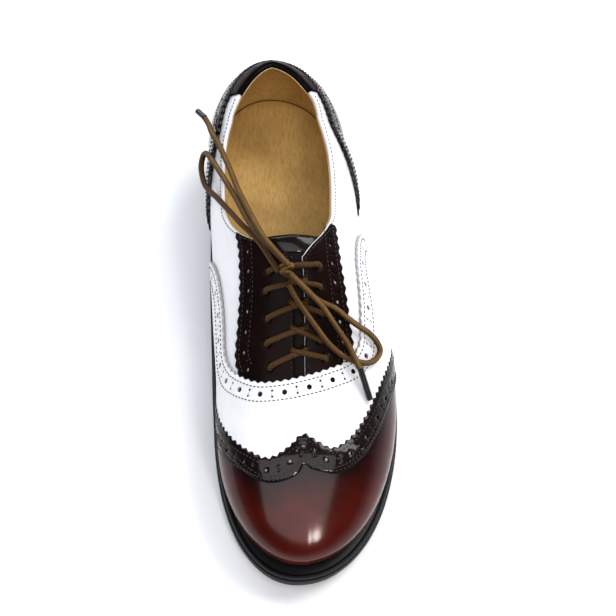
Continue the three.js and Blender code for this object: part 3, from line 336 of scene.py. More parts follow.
def relief(chart):
    """How far the creases lower the leather at chart points."""
    chart = np.asarray(chart, float)
    total = np.zeros(chart.shape[:-1])
    for rows, depth, width in CREASES:
        path = smooth_curve([chart_point(s, g) for s, g in rows], 2.0)
        near = np.full(total.shape, 1e9)
        share = np.zeros(total.shape)
        for k, spot in enumerate(path):
            d = np.hypot(chart[..., 0] - spot[0], chart[..., 1] - spot[1])
            share = np.where(d < near, k / (len(path) - 1), share)
            near = np.minimum(near, d)
        total -= depth * np.exp(-((near / width) ** 2)) * np.sin(np.pi * np.clip(share, 0.02, 0.98)) ** 0.7
    return total


# Lines in the chart
def unit(rows):
    """Rows scaled to length one."""
    return rows / np.linalg.norm(rows, axis=-1, keepdims=True)


def run_along(line):
    """How far along a line each of its points lies."""
    return np.concatenate([[0], np.cumsum(np.linalg.norm(np.diff(line, axis=0), axis=1))])


def sampled(values, run, want):
    """Rows given at lengths run, read at lengths want."""
    return np.stack([np.interp(want, run, column) for column in values.T], 1)


def respaced(line, spacing):
    run = run_along(line)
    return sampled(line, run, np.linspace(0, run[-1], max(int(round(run[-1] / spacing)), 1) + 1))


def closed(loop):
    return np.concatenate([loop, loop[:1]])


def smooth_curve(points, spacing):
    """Centripetal Catmull-Rom curve through points, resampled at an even spacing."""
    p = np.array(points, float)
    q = np.concatenate([[2 * p[0] - p[1]], p, [2 * p[-1] - p[-2]]])

    def blend(a, b, from_t, to_t):
        return (to_t - u) / (to_t - from_t) * a + (u - from_t) / (to_t - from_t) * b

    out = []
    for i in range(1, len(q) - 2):
        t = [0.0]
        for a, b in ((i - 1, i), (i, i + 1), (i + 1, i + 2)):
            t.append(t[-1] + max(np.linalg.norm(q[b] - q[a]), 1e-6) ** 0.5)
        for u in np.linspace(t[1], t[2], 24, endpoint=False):
            a = [blend(q[i - 1 + k], q[i + k], t[k], t[k + 1]) for k in range(3)]
            b = [blend(a[k], a[k + 1], t[k], t[k + 2]) for k in range(2)]
            out.append(blend(b[0], b[1], t[1], t[2]))
    out.append(p[-1])
    return respaced(np.array(out), spacing)


def edge_line(rows):
    return clipped(smooth_curve([chart_point(s, g) for s, g in rows], 0.8))


def clipped(line):
    """The part of a line above the feather line."""
    return line[chart_to_last(line[:, 0], line[:, 1])[2] < FOOT]


def to_left(along):
    return np.stack([-along[:, 1], along[:, 0]], 1)


def moved(line, distance):
    """A line moved to the left of its run in the chart."""
    along = np.gradient(line, axis=0)
    for _ in range(3):
        along[1:-1] = (along[:-2] + 2 * along[1:-1] + along[2:]) / 4
    return line + distance * to_left(unit(along))


# One tooth: share of the pitch, share of the depth
TOOTH = [(0.0, 0.0), (0.2, 0.42), (0.4, 0.86), (0.5, 1.0), (0.6, 0.86), (0.8, 0.42)]


def pinked(line, pitch, depth):
    """A zigzag edge; its teeth reach depth to the left of the line."""
    run = run_along(line)
    teeth = max(int(round(run[-1] / pitch)), 1)
    want = np.array([(k + share) / teeth for k in range(teeth) for share, _ in TOOTH] + [1.0]) * run[-1]
    rise = np.array([height for _, height in TOOTH] * teeth + [0.0]) * depth
    ways = sampled(unit(np.gradient(line, axis=0)), run, want)
    return sampled(line, run, want) + to_left(ways) * rise[:, None]


def spaced_spots(line, pitch, start, end):
    """Points and directions along a line, about a pitch apart."""
    run = run_along(line)
    want = np.linspace(start, run[-1] - end, max(int(round((run[-1] - start - end) / pitch)), 1) + 1)
    return sampled(line, run, want), unit(sampled(unit(np.gradient(line, axis=0)), run, want))


def circle(spot, radius, sides):
    angle = np.arange(sides) * 2 * math.pi / sides
    return np.asarray(spot) + radius * np.stack([np.cos(angle), np.sin(angle)], 1)


def brogue(line, pitch, big, small, spread, start=4.0, end=4.0):
    """Big holes along a line, with pairs of small holes between them."""
    holes = [(spot, big) for spot in spaced_spots(line, pitch, start, end)[0]]
    between, ways = spaced_spots(line, pitch, start + pitch / 2, end + pitch / 2)
    for spot, side in zip(between, to_left(ways)):
        holes += [(spot + side * spread, small), (spot - side * spread, small)]
    return holes


# Meshes
def to_metres(points):
    return (np.asarray(points, float) - np.array([SHIFT, 0, 0])) / 1000


def mesh_piece(name, node, points, faces, look, smooth=50, rim=None, uv=None):
    """A mesh in metres with its material; it stands for the solid named node."""
    data = bpy.data.meshes.new(name)
    data.from_pydata(to_metres(points).tolist(), [], [tuple(int(i) for i in face) for face in faces])
    data.validate()
    if rim is not None:
        data.attributes.new("rim", "FLOAT", "POINT").data.foreach_set("value", np.asarray(rim, np.float32))
    if uv is not None:
        loops = np.zeros(len(data.loops), np.int32)
        data.loops.foreach_get("vertex_index", loops)
        data.uv_layers.new(name="UVMap").data.foreach_set("uv", np.asarray(uv, np.float32)[loops].ravel())
    data.polygons.foreach_set("use_smooth", np.ones(len(data.polygons), bool))
    if smooth:
        data.set_sharp_from_angle(angle=math.radians(smooth))
    data.materials.append(look[0])
    piece = bpy.data.objects.new(name, data)
    bpy.context.scene.collection.objects.link(piece)
    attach(piece, "root")
    if node:
        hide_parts(node)
    return piece


def inside(points, polygon):
    x, y = points[:, 0][:, None], points[:, 1][:, None]
    x0, y0 = polygon[:, 0][None], polygon[:, 1][None]
    x1, y1 = np.roll(polygon[:, 0], -1)[None], np.roll(polygon[:, 1], -1)[None]
    with np.errstate(divide="ignore", invalid="ignore"):
        cross = ((y0 > y) != (y1 > y)) & (x < (x1 - x0) * (y - y0) / (y1 - y0) + x0)
    return cross.sum(1) % 2 == 1


def within(points, loops):
    """Which points are inside the first loop and outside the others."""
    keep = inside(points, loops[0])
    for ring in loops[1:]:
        keep &= ~inside(points, ring)
    return keep


def inset(polygon, distance):
    """A counter-clockwise polygon with its points moved inward."""
    before = polygon - np.roll(polygon, 1, 0)
    after = np.roll(polygon, -1, 0) - polygon
    before /= np.maximum(np.linalg.norm(before, axis=1, keepdims=True), 1e-9)
    after /= np.maximum(np.linalg.norm(after, axis=1, keepdims=True), 1e-9)
    normal = to_left(before + after)
    normal /= np.maximum(np.linalg.norm(normal, axis=1, keepdims=True), 1e-9)
    cosine = np.clip((normal * to_left(after)).sum(1), 0.6, 1)
    return polygon + normal * (distance / cosine)[:, None]


def counterclockwise(polygon):
    x, y = polygon[:, 0], polygon[:, 1]
    return polygon if np.sum(x * np.roll(y, -1) - np.roll(x, -1) * y) >= 0 else polygon[::-1]


def distances(spots, line):
    """How far each point is from the nearest point of a line."""
    tree = kdtree.KDTree(len(line))
    for i, spot in enumerate(line):
        tree.insert((spot[0], spot[1], 0), i)
    tree.balance()
    return np.array([tree.find((spot[0], spot[1], 0))[2] for spot in spots])


def triangulated(loops, spacing):
    """Triangles inside the first loop and outside the others, with an even grid of points between."""
    fixed = np.concatenate(loops)
    low, high = loops[0].min(0), loops[0].max(0)
    grid = []
    for k, y in enumerate(np.arange(low[1], high[1], spacing * 0.866)):
        xs = np.arange(low[0] + (k % 2) * spacing / 2, high[0], spacing)
        grid.append(np.stack([xs, np.full(len(xs), y)], 1))
    grid = np.concatenate(grid)
    grid = grid[within(grid, loops)]
    grid = grid[distances(grid, fixed) > spacing * 0.55]
    edges, runs, first = [], [], 0
    for loop in loops:
        run = list(range(first, first + len(loop)))
        edges += zip(run, run[1:] + run[:1])
        runs.append(run)
        first += len(loop)
    result = delaunay_2d_cdt([Vector(p) for p in np.concatenate([fixed, grid])], edges, [], 0, 1e-5, True)
    spots = np.array([tuple(v) for v in result[0]])
    faces = np.array([face for face in result[2] if len(face) == 3])
    faces = faces[within(spots[faces].mean(1), loops)]
    where = {old: new for new, olds in enumerate(result[3]) for old in olds}
    return spots, [tuple(face) for face in faces], [[where[k] for k in run] for run in runs]


def panel(name, node, outline, holes, low, high, look, spacing=1.5, bevel=0.25, skived=None, burnished=None):
    """A leather panel: its top, rounded edge and wall, cut to an outline in the chart with round holes.
    Skived is a line near which the panel is thinner, with the depth and the width of it."""
    outline = outline[np.linalg.norm(outline - np.roll(outline, 1, 0), axis=1) > 1e-4]
    outline = counterclockwise(outline)
    small = bevel * 0.6
    kept = [(spot, r) for spot, r in holes if inside(np.array([spot]), inset(outline, r + 0.4))[0]]
    rings = [circle(spot, r + small, 14 if r > 0.8 else 9) for spot, r in kept]
    spots, all_faces, tops = triangulated([inset(outline, bevel)] + rings, spacing)

    def drop(chart):
        if not skived:
            return relief(chart)
        line, depth, width = skived
        return relief(chart) - depth * np.exp(-((distances(chart, line) / width) ** 2))

    points = [skin(spots, high + drop(spots))]
    rim = [distances(spots, outline if burnished is None else burnished)]
    for ring in tops[1:]:
        rim[0][ring] = 0.25
    count = len(spots)
    loops = [outline] + [circle(spot, r, len(ring)) for (spot, r), ring in zip(kept, rings)]
    for number, (loop, top) in enumerate(zip(loops, tops)):
        shoulder = high - small if number else high - math.copysign(bevel, high - low)
        points += [skin(loop, shoulder + drop(loop)), skin(loop, low + relief(loop))]
        n = len(loop)
        rim += [np.zeros(n) if burnished is None else distances(loop, burnished)] * 2
        for k in range(n):
            m = (k + 1) % n
            a, b = count + k, count + m
            around = [(top[m], top[k], a, b), (b, a, a + n, b + n)]
            all_faces += [face[::-1] for face in around] if number else around
        count += 2 * n
    if high > low:  # the chart's y runs against the frame's
        all_faces = [face[::-1] for face in all_faces]
    return mesh_piece(name, node, np.concatenate(points), all_faces, look, rim=np.concatenate(rim))


def rope(name, node, points, diameter, look, sides=14, uv_start=0.0):
    """Round cord: one tube, with its length and girth as UV."""
    line = respaced(np.asarray(points, float), ROUTE_SPACING)
    ahead = unit(np.gradient(line, axis=0))
    way_out = np.cross(ahead[0], [0, 0, 1.0])
    side = np.zeros(ahead.shape)
    for k, way in enumerate(ahead):
        way_out = unit(way_out - way * np.dot(way_out, way))
        side[k] = way_out
    up = np.cross(side, ahead)
    angle = np.linspace(0, 2 * math.pi, sides + 1)
    ring = side[:, None] * np.cos(angle)[None, :, None] + up[:, None] * np.sin(angle)[None, :, None]
    points = (line[:, None] + diameter / 2 * ring).reshape(-1, 3)
    run = run_along(line) + uv_start
    count, n = len(line), sides + 1
    uv = np.stack([np.repeat(run, n), np.tile(angle / (2 * math.pi), count)], 1)
    faces = [((i + 1) * n + k, (i + 1) * n + k + 1, i * n + k + 1, i * n + k)
             for i in range(count - 1) for k in range(sides)]
    for row, step in ((0, -1), (count - 1, 1)):
        points = np.concatenate([points, [line[row] + ahead[row] * step * diameter * 0.18]])
        uv = np.concatenate([uv, [uv[row * n]]])
        tip = len(points) - 1
        for k in range(row * n, row * n + sides):
            faces.append((k + 1, tip, k) if step < 0 else (k, tip, k + 1))
    return mesh_piece(name, node, points, faces, look, 60, uv=uv)


# Materials
TO_MILLIMETRES = (1000.0, 1000.0, 1000.0)


class Nodes:
    """A material's nodes, made and linked by name, with the slot that the material goes in."""

    def __init__(self, name, slot=None):
        self.material = bpy.data.materials.new(name)
        self.material.use_nodes = True
        self.slot = slot
        self.tree = self.material.node_tree
        self.where = self.add("Mapping", Vector=self.add("TexCoord", "Object"), Scale=TO_MILLIMETRES)

    def put(self, socket, value):
        """A number, a colour or another node's output goes into a socket."""
        if isinstance(value, bpy.types.NodeSocket):
            self.tree.links.new(value, socket)
        else:
            socket.default_value = (*value, 1) if socket.type == "RGBA" else value

    def fill(self, node, inputs):
        for key, value in inputs.items():
            self.put(node.inputs[key.replace("_", " ")], value)

    def add(self, kind, output=0, settings=(), **inputs):
        """A new node's output."""
        node = self.tree.nodes.new("ShaderNode" + kind)
        for key, value in settings:
            setattr(node, key, value)
        self.fill(node, inputs)
        return node.outputs[output]

    def noise(self, size, detail, where=None):
        return self.add("TexNoise", Vector=where or self.where, Scale=1 / size, Detail=detail)

    def ranged(self, value, low, high, to_low=0.0, to_high=1.0):
        return self.add("MapRange", Value=value, From_Min=low, From_Max=high, To_Min=to_low, To_Max=to_high)

    def math(self, operation, *values):
        node = self.tree.nodes.new("ShaderNodeMath")
        node.operation = operation
        for socket, value in zip(node.inputs, values):
            self.put(socket, value)
        return node.outputs[0]

    def mixed(self, share, a, b):
        node = self.tree.nodes.new("ShaderNodeMix")
        node.data_type = "RGBA"
        for socket, value in ((node.inputs["Factor"], share), (node.inputs[6], a), (node.inputs[7], b)):
            self.put(socket, value)
        return node.outputs[2]

    def rim(self):
        return self.add("Attribute", "Fac", [("attribute_name", "rim")])

    def bump(self, height, depth, **before):
        """Depth in millimetres."""
        return self.add("Bump", Distance=depth / 1000, Height=height, **before)

    def finish(self, colour, roughness, **values):
        self.fill(self.tree.nodes["Principled BSDF"], dict(values, Base_Color=colour, Roughness=roughness))
        return self.material, self.slot


def smooth_leather(name, slot, tones, rough, coat, coat_rough, burnish, grain, gleam):
    """Leather with fine pores, soft unevenness and edges of another tone, burnish millimetres wide."""
    m = Nodes(name, slot)
    colour, deep, edge = tones
    cloud = m.noise(22.0, 3.0)
    fine = m.noise(1.6, 4.0)
    tone = m.mixed(m.ranged(cloud, 0.35, 0.7), colour, deep)
    near = m.ranged(m.rim(), 0.0, burnish, 1.0, 0.0)
    tone = m.mixed(m.math("POWER", near, 1.3), tone, edge)
    cells = m.add("TexVoronoi", 0, [("feature", "DISTANCE_TO_EDGE")], Vector=m.where, Scale=1 / 0.55)
    pores = m.bump(cells, grain * 0.5)
    waves = m.bump(m.noise(7.0, 2.0), grain * 2.2, Normal=pores)
    normal = m.bump(fine, grain * 0.7, Normal=waves)
    roughness = m.ranged(m.noise(5.0, 3.0), 0.3, 0.7, rough * 0.8, rough * 1.2)
    return m.finish(tone, roughness, Normal=normal, Coat_Weight=coat, Coat_Roughness=coat_rough, Coat_IOR=1.42,
                    Specular_IOR_Level=gleam)


# Tones of the leather, of its clouds and of its edges
WHITE = [(0.83, 0.83, 0.85), (0.77, 0.78, 0.81), (0.70, 0.70, 0.73)]
# The white vamp's grey edge tone is partly its raw-cut edge and partly a painted shadow along that edge
WHITE_RAW_EDGE_SHADED = [(0.83, 0.83, 0.85), (0.78, 0.79, 0.82), (0.36, 0.35, 0.36)]
DARK = [(0.011, 0.0042, 0.0034), (0.006, 0.003, 0.0026), (0.003, 0.0018, 0.0018)]
SOFT_DARK = [(0.013, 0.0045, 0.0034), (0.007, 0.003, 0.0024), (0.003, 0.0018, 0.0018)]
BURGUNDY = [(0.085, 0.0075, 0.003), (0.038, 0.004, 0.0022), (0.0075, 0.0016, 0.0014)]
white = smooth_leather("white leather", "white_leather", WHITE, 0.4, 0.3, 0.2, 0.7, 0.05, 0.5)
dark = smooth_leather("dark leather", "dark_leather", DARK, 0.45, 0.75, 0.11, 1.4, 0.02, 0.1)
soft_dark = smooth_leather("soft dark leather", "dark_leather", SOFT_DARK, 0.5, 0.1, 0.2, 1.4, 0.02, 0.06)
polished = smooth_leather("polished dark leather", "dark_leather", SOFT_DARK, 0.5, 0.9, 0.06, 1.4, 0.012, 0.1)
white_raw_edge_shaded = smooth_leather("white leather with raw edges and painted edge shade", "white_leather", WHITE_RAW_EDGE_SHADED, 0.4, 0.3, 0.2, 0.55,
                           0.05, 0.5)
burgundy = smooth_leather("burgundy leather", "burgundy_leather", BURGUNDY, 0.4, 0.85, 0.15, 15.0, 0.02, 0.08)


def lining_leather():
    m = Nodes("tan lining", "lining_leather")
    tone = m.mixed(m.ranged(m.noise(18.0, 4.0), 0.35, 0.7), (0.63, 0.43, 0.165), (0.53, 0.345, 0.125))
    long_grain = m.add("Mapping", Vector=m.where, Scale=(1.0, 0.16, 0.4))
    fibre = m.ranged(m.noise(0.7, 4.0, long_grain), 0.42, 0.66)
    tone = m.mixed(m.math("MULTIPLY", fibre, 0.32), tone, (0.27, 0.15, 0.045))
    specks = m.ranged(m.noise(0.9, 2.0), 0.62, 0.75)
    tone = m.mixed(m.math("MULTIPLY", specks, 0.5), tone, (0.2, 0.11, 0.035))
    # Painted shade: the lining goes nearly black close to its rim, for the shade where the insole meets the
    # heel's wall and along the tongue lining's edge
    tone = m.mixed(m.ranged(m.rim(), 0.3, 1.3, 0.85, 0.0), tone, (0.05, 0.022, 0.008))
    return m.finish(tone, 0.62, Normal=m.bump(m.noise(0.5, 4.0), 0.08), Specular_IOR_Level=0.3)


def black_rubber(name, slot, colour, rough, tread=False):
    m = Nodes(name, slot)
    dusty = m.ranged(m.noise(6.0, 5.0), 0.5, 0.8)
    tone = m.mixed(m.math("MULTIPLY", dusty, 0.35), colour, tuple(c * 2.2 + 0.004 for c in colour))
    normal = m.bump(m.noise(0.35, 3.0), 0.06)
    if tread:
        wave = m.add("TexWave", "Fac", [("bands_direction", "Y")], Vector=m.where, Scale=0.09, Distortion=1.2)
        normal = m.bump(m.ranged(wave, 0.35, 0.65), 0.5, Normal=normal)
    return m.finish(tone, rough, Normal=normal, Specular_IOR_Level=0.3)


def waxed_cord():
    """Crossing strands, with a painted highlight on the side that faces up."""
    m = Nodes("waxed cord", "lace")
    split = m.add("SeparateXYZ", Vector=m.add("UVMap", 0, [("uv_map", "UVMap")])).node.outputs
    along = m.math("MULTIPLY", split["X"], 2 * math.pi / 1.3)
    around = m.math("MULTIPLY", split["Y"], 2 * math.pi * 6)
    one = m.math("SINE", m.math("ADD", along, around))
    two = m.math("SINE", m.math("SUBTRACT", along, around))
    weave = m.math("MAXIMUM", one, two)
    tone = m.mixed(m.ranged(weave, -0.6, 0.9), (0.030, 0.013, 0.0035), (0.095, 0.045, 0.011))
    # Painted highlight: the side of the cord that faces up (round share 0.25) is lighter, over the strands' tops
    # and in patches
    rounds = m.math("ABSOLUTE", m.math("SUBTRACT", split["Y"], 0.25))
    upper = m.ranged(rounds, 0.02, 0.17, 1.0, 0.0)
    upper = m.math("MULTIPLY", upper, m.ranged(weave, -0.4, 0.9, 0.45, 1.0))
    highlight_patches = m.ranged(m.noise(9.0, 3.0), 0.3, 0.7, 0.35, 1.0)
    tone = m.mixed(m.math("MULTIPLY", m.math("MULTIPLY", highlight_patches, upper), 0.75), tone, (0.30, 0.175, 0.05))
    return m.finish(tone, 0.6, Normal=m.bump(weave, 0.12), Specular_IOR_Level=0.3)


def plain(name, slot, colour, rough, size=0.8, depth=0.03, **values):
    m = Nodes(name, slot)
    tone = m.mixed(m.ranged(m.noise(3.0, 3.0), 0.3, 0.7), colour, tuple(c * 0.75 for c in colour))
    return m.finish(tone, rough, Normal=m.bump(m.noise(size, 3.0), depth), **values)


lining = lining_leather()
lining_light = plain("lining edge", "lining_leather", (0.50, 0.33, 0.16), 0.6)
sole_black = black_rubber("sole rubber", "sole_rubber", (0.003, 0.003, 0.0035), 0.5)
tread_black = black_rubber("tread rubber", "sole_rubber", (0.014, 0.014, 0.015), 0.7, True)
welt_black = black_rubber("welt rubber", "welt_rubber", (0.003, 0.003, 0.0035), 0.42)
cord_brown = waxed_cord()
tip_dark = plain("cord tip", "aglet", (0.016, 0.012, 0.01), 0.25, Coat_Weight=0.4)
thread_dark = plain("dark thread", "white_leather", (0.008, 0.006, 0.006), 0.6, 0.3, 0.05)
thread_brown = plain("brown thread", "dark_leather", (0.045, 0.031, 0.026), 0.5, 0.3, 0.05)
# Painted shade for the vamp's holes, on discs over the white quarter
hole_shade = plain("painted hole shade", "white_leather", (0.02, 0.016, 0.014), 0.8)


# Camera: the photo's viewpoint, turned to look at the middle of this shoe
PHOTO_RIGHT = Vector((0.99837, -0.05704, 0.0))
PHOTO_UP = Vector((0.05127, 0.89732, 0.43837))
PHOTO_AHEAD = Vector((0.02500, 0.43766, -0.89879))
FOCAL_PIXELS = 1960.8
FRAME_PIXELS = 616
camera_data = bpy.data.cameras.new("camera")
camera_data.sensor_width = 36
camera_data.lens = 36 * FOCAL_PIXELS / FRAME_PIXELS
camera = bpy.data.objects.new("camera", camera_data)
bpy.context.scene.collection.objects.link(camera)
AIM = Vector((3.0, -1.0, 48.0)) / 1000
place = Vector((-58.29 - SHIFT, -447.6, 937.3)) / 1000
turn = Matrix((PHOTO_RIGHT, PHOTO_UP, -PHOTO_AHEAD)).transposed()
swing = PHOTO_AHEAD.rotation_difference((AIM - place).normalized())
camera.matrix_world = Matrix.Translation(place) @ (swing.to_matrix() @ turn).to_4x4()
bpy.context.scene.camera = camera

# Lace. Each point: station, signed round share, height above the last in diameters of the lace.
LOOP_MEDIAL = [
    (0.482, -0.056, 2.55), (0.468, -0.088, 2.52), (0.451, -0.122, 2.48), (0.436, -0.156, 2.48),
    (0.417, -0.180, 2.41), (0.392, -0.216, 1.72), (0.336, -0.287, 0.76), (0.281, -0.362, 1.07),
    (0.234, -0.444, 1.28), (0.193, -0.580, 1.45), (0.193, -0.623, 1.69), (0.210, -0.635, 1.83),
    (0.233, -0.620, 1.66), (0.260, -0.581, 1.34), (0.310, -0.452, 0.66), (0.361, -0.335, 0.72),
    (0.399, -0.254, 1.45), (0.425, -0.202, 1.45), (0.447, -0.166, 1.45), (0.474, -0.124, 2.07),
    (0.497, -0.089, 2.48),
]
LOOP_LATERAL = [
    (0.508, -0.020, 2.62), (0.528, 0.030, 2.17), (0.543, 0.097, 1.59), (0.554, 0.195, 1.34),
    (0.564, 0.252, 1.28), (0.576, 0.331, 1.31), (0.585, 0.415, 1.38), (0.597, 0.481, 1.38),
    (0.609, 0.505, 1.38), (0.627, 0.473, 1.38), (0.638, 0.414, 1.38), (0.639, 0.350, 1.38),
    (0.634, 0.273, 1.38), (0.623, 0.205, 1.52), (0.608, 0.142, 2.00), (0.586, 0.080, 2.24),
    (0.559, 0.019, 2.34), (0.539, -0.019, 2.48), (0.518, -0.049, 2.55),
]
END_MEDIAL = [
    (0.486, -0.043, 3.59), (0.472, -0.071, 3.62), (0.455, -0.103, 3.66), (0.442, -0.127, 3.69),
    (0.424, -0.146, 3.45), (0.392, -0.181, 2.31), (0.360, -0.217, 1.52), (0.323, -0.261, 1.00),
    (0.281, -0.304, 0.72), (0.242, -0.349, 0.69), (0.202, -0.405, 0.90), (0.171, -0.465, 1.41),
    (0.143, -0.515, 1.62), (0.130, -0.545, 2.14),
]
END_LATERAL = [
    (0.503, -0.037, 3.76), (0.516, -0.002, 3.72), (0.532, 0.043, 3.38), (0.552, 0.106, 2.79),
    (0.580, 0.182, 1.86), (0.594, 0.221, 1.79), (0.607, 0.253, 2.21), (0.634, 0.304, 2.55),
    (0.651, 0.345, 2.21),
]
AGLET_MEDIAL = [(0.128, -0.549, 2.24), (0.116, -0.585, 3.69)]
AGLET_LATERAL = [(0.653, 0.352, 2.14), (0.702, 0.450, 1.14)]
KNOT = (0.497, -0.053, 2.69)


def over_last(rows, scale=LACE):
    return np.array([skin(chart_point(s, g), over * scale) for s, g, over in rows])


def length_of(line):
    return float(np.linalg.norm(np.diff(line, axis=0), axis=1).sum())


def merged(parts, name, node):
    """Pieces joined into one."""
    bpy.ops.object.select_all(action="DESELECT")
    for part in parts:
        part.select_set(True)
    bpy.context.view_layer.objects.active = parts[0]
    bpy.ops.object.join()
    parts[0].name = name
    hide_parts(node)
    return parts[0]


heart = over_last([KNOT])[0]
knot_up = unit(over_last([(KNOT[0], KNOT[1], KNOT[2] + 1)])[0] - heart)
knot_ahead = unit(over_last([(KNOT[0] - 0.01, KNOT[1], KNOT[2])])[0] - heart)
knot_side = np.cross(knot_ahead, knot_up)
knot_axes = np.array([knot_side, np.cross(knot_up, knot_side), knot_up])
KNOT_REACH = np.array([4.3, 5.7, 3.2])

# The knot: the lace wound round itself; each turn's tilt, half width, half height, lift and slant
turns = []
angle = np.linspace(0, 2 * math.pi * 0.98, 40)
for k, (tilt, wide, high, lift, slant) in enumerate(((0.5, 2.6, 1.7, 0.1, 0.9), (-0.35, 2.5, 1.6, 0.2, -1.2),
                                                     (0.05, 2.7, 1.5, -0.2, 2.6))):
    local = np.stack([wide * np.cos(angle), slant + 0.7 * np.sin(angle) + tilt * 2.2 * np.cos(angle),
                      lift + high * np.sin(angle)], 1)
    turns.append(rope("lace_knot_turn_%d" % (k + 1), None, heart + local @ knot_axes, LACE * 0.82, cord_brown,
                      12, 40.0 * k))
lace_knot = merged(turns, "lace_knot_wound", "lace_knot")

cords = {}
for name, rows, node in (("lace_bow_loop_medial", LOOP_MEDIAL, "lace_loop_medial"),
                         ("lace_bow_loop_lateral", LOOP_LATERAL, "lace_loop_lateral"),
                         ("lace_tail_medial", END_MEDIAL, "lace_end_medial"),
                         ("lace_tail_lateral", END_LATERAL, "lace_end_lateral")):
    line = smooth_curve(over_last(rows), ROUTE_SPACING)
    outside_knot = np.linalg.norm((line - heart) @ knot_axes.T / KNOT_REACH, axis=1) > 1.0
    line = line[outside_knot]
    cords[name] = line, rope(name, node, line, LACE, cord_brown)
tips = [rope(name, node, smooth_curve(over_last(rows), ROUTE_SPACING), AGLET * 0.98, tip_dark)
        for name, rows, node in (("lace_tip_medial", AGLET_MEDIAL, "aglet_medial"),
                                 ("lace_tip_lateral", AGLET_LATERAL, "aglet_lateral"))]
for name, with_pieces, far_end in (("lace_bow_loop_medial", [lace_knot], "knot"),
                                   ("lace_bow_loop_lateral", [], "knot"),
                                   ("lace_tail_medial", tips[:1], "fitting"),
                                   ("lace_tail_lateral", tips[1:], "fitting")):
    line, piece = cords[name]

# Lace rows: a strand from each eyelet down into the slot
PAST_SLOT = 0.03
OVER_FACING = 3 * GAP + THIN - GAP + LACE / 2
for number, (at_medial, medial, at_lateral, lateral, meet) in enumerate(ROWS, 1):
    strands = []
    for k, (at, start, far, height) in enumerate(((at_medial, -medial, PAST_SLOT, 0.0),
                                                  (at_lateral, lateral, -PAST_SLOT * 1.3, 0.5))):
        sign = 1 if start > 0 else -1
        way = [(at + (meet - at) * share, start + (far - start) * share) for share in (0.35, 0.72)]
        rows = [(at + 0.004, start + sign * 0.006, -1.6), (at + 0.002, start + sign * 0.002, 0.9),
                (at - 0.001, start - sign * 0.013, OVER_FACING - 0.15), (*way[0], OVER_FACING),
                (*way[1], OVER_FACING + height), (meet, far, OVER_FACING + height - 0.9),
                (meet - 0.004, far * 1.25, -1.0 + height)]
        strands.append(rope("lace_strand_%d_%d" % (number, k), None,
                            smooth_curve(over_last(rows, 1.0), ROUTE_SPACING), LACE, cord_brown,
                            uv_start=17.0 * number + 90 * k))
    merged(strands, "lace_cross_%d" % number, "lace_row_%d" % number)

# Leather
SIGN = {"medial": -1, "lateral": 1}
COLUMN = {"medial": 1, "lateral": 2}


def side_line(side, stations, rounds):
    return chart_point(stations, SIGN[side] * np.asarray(rounds))


def feather_line(side, start, end):
    count = 4 * max(int(abs(end - start) * LENGTH / 1.6), 3)
    return respaced(side_line(side, np.linspace(start, end, count), np.full(count, FOOT)), 1.6)


def opening_line(side, start, end, clear=0.0, spacing=0.8):
    """The opening's edge, or a line clear of it."""
    stations = np.linspace(start, end, 500)
    girth = SIDES[side].girth_at(stations)
    slot = SLOT / 2 / girth
    table = np.maximum(slot, read(OPENING, COLUMN[side], stations))
    rounds = np.where(stations >= OPENING[-1][0], slot, table)
    return respaced(side_line(side, stations, rounds + clear / girth), spacing)


def table_line(table, side, stations):
    return side_line(side, stations, read(table, COLUMN[side], stations))


def joined(*lines):
    """Lines end to end, without their doubled points."""
    out = [lines[0]]
    for line in lines[1:]:
        out.append(line[1:] if np.linalg.norm(out[-1][-1] - line[0]) < 0.3 else line)
    whole = np.concatenate(out)
    return whole[:-1] if np.linalg.norm(whole[0] - whole[-1]) < 0.3 else whole


def bridged(above, under):
    """Faces between two rings of points."""
    around = zip(above[1:] + above[:1], above, under, under[1:] + under[:1])
    return list(around)


def shell(name, node, outer, cut, low, high, look, inner_look, spacing):
    """A shell with one opening whose edge is rolled: its outer face with the roll, and its inner face."""
    cut = counterclockwise(cut)
    roll = (high - low) / 2
    spots, faces, (edge, last) = triangulated([counterclockwise(outer), inset(cut, -roll)], spacing)
    below = spots[edge]
    count = len(spots) + len(below)
    points = [skin(spots, high + relief(spots)), skin(below, low + relief(below))]
    rim = [np.full(len(spots), 9.0), np.zeros(len(below))]
    all_faces = faces + bridged(edge, list(range(len(spots), count)))
    for angle in np.linspace(0, 1.1 * math.pi, 9)[1:]:
        loop = inset(cut, -roll * (1 - math.sin(angle)))
        points.append(skin(loop, high - roll + roll * math.cos(angle) + relief(loop)))
        rim.append(np.full(len(loop), 0.4))
        now = list(range(count, count + len(loop)))
        all_faces += [face[::-1] for face in bridged(last, now)]
        last = now
        count += len(loop)
    outward = [face[::-1] for face in all_faces]
    mesh_piece(name, node, np.concatenate(points), outward, look, rim=np.concatenate(rim))
    mesh_piece(name + "_lining", node, skin(spots, low), faces, inner_look, rim=rim[0])


shell("quarters", "upper", joined(feather_line("medial", 0, 1), feather_line("lateral", 1, 0)),
      joined(opening_line("medial", 0, SLOT_END, spacing=0.9), opening_line("lateral", SLOT_END, 0, spacing=0.9)),
      -WALL, 0.0, white, lining, 2.0)

SEAM_UNDER = 1.8  # how far a piece runs on under the one that laps over it
VAMP_TOP, WING_TOP, THIN_TOP = GAP + MIDDLE, GAP + THICK, GAP + THIN
wing_edge, wing_seam, vamp_edge = edge_line(WING_EDGE), edge_line(WING_SEAM), edge_line(VAMP_EDGE)


def beside(line, distance):
    return clipped(moved(line, distance))


def station_of(point):
    return float(chart_to_last(point[:1], point[1:])[1][0])


# Every edge runs from the medial feather line round to the lateral one, with the toe on its left in the chart
def between(top, bottom):
    """A panel's outline: its upper edge, the feather line, its lower edge back, the other feather line."""
    right = feather_line("lateral", station_of(top[-1]), station_of(bottom[-1]))
    left = feather_line("medial", station_of(bottom[0]), station_of(top[0]))
    return joined(top, right[1:-1], bottom[::-1], left[1:-1])


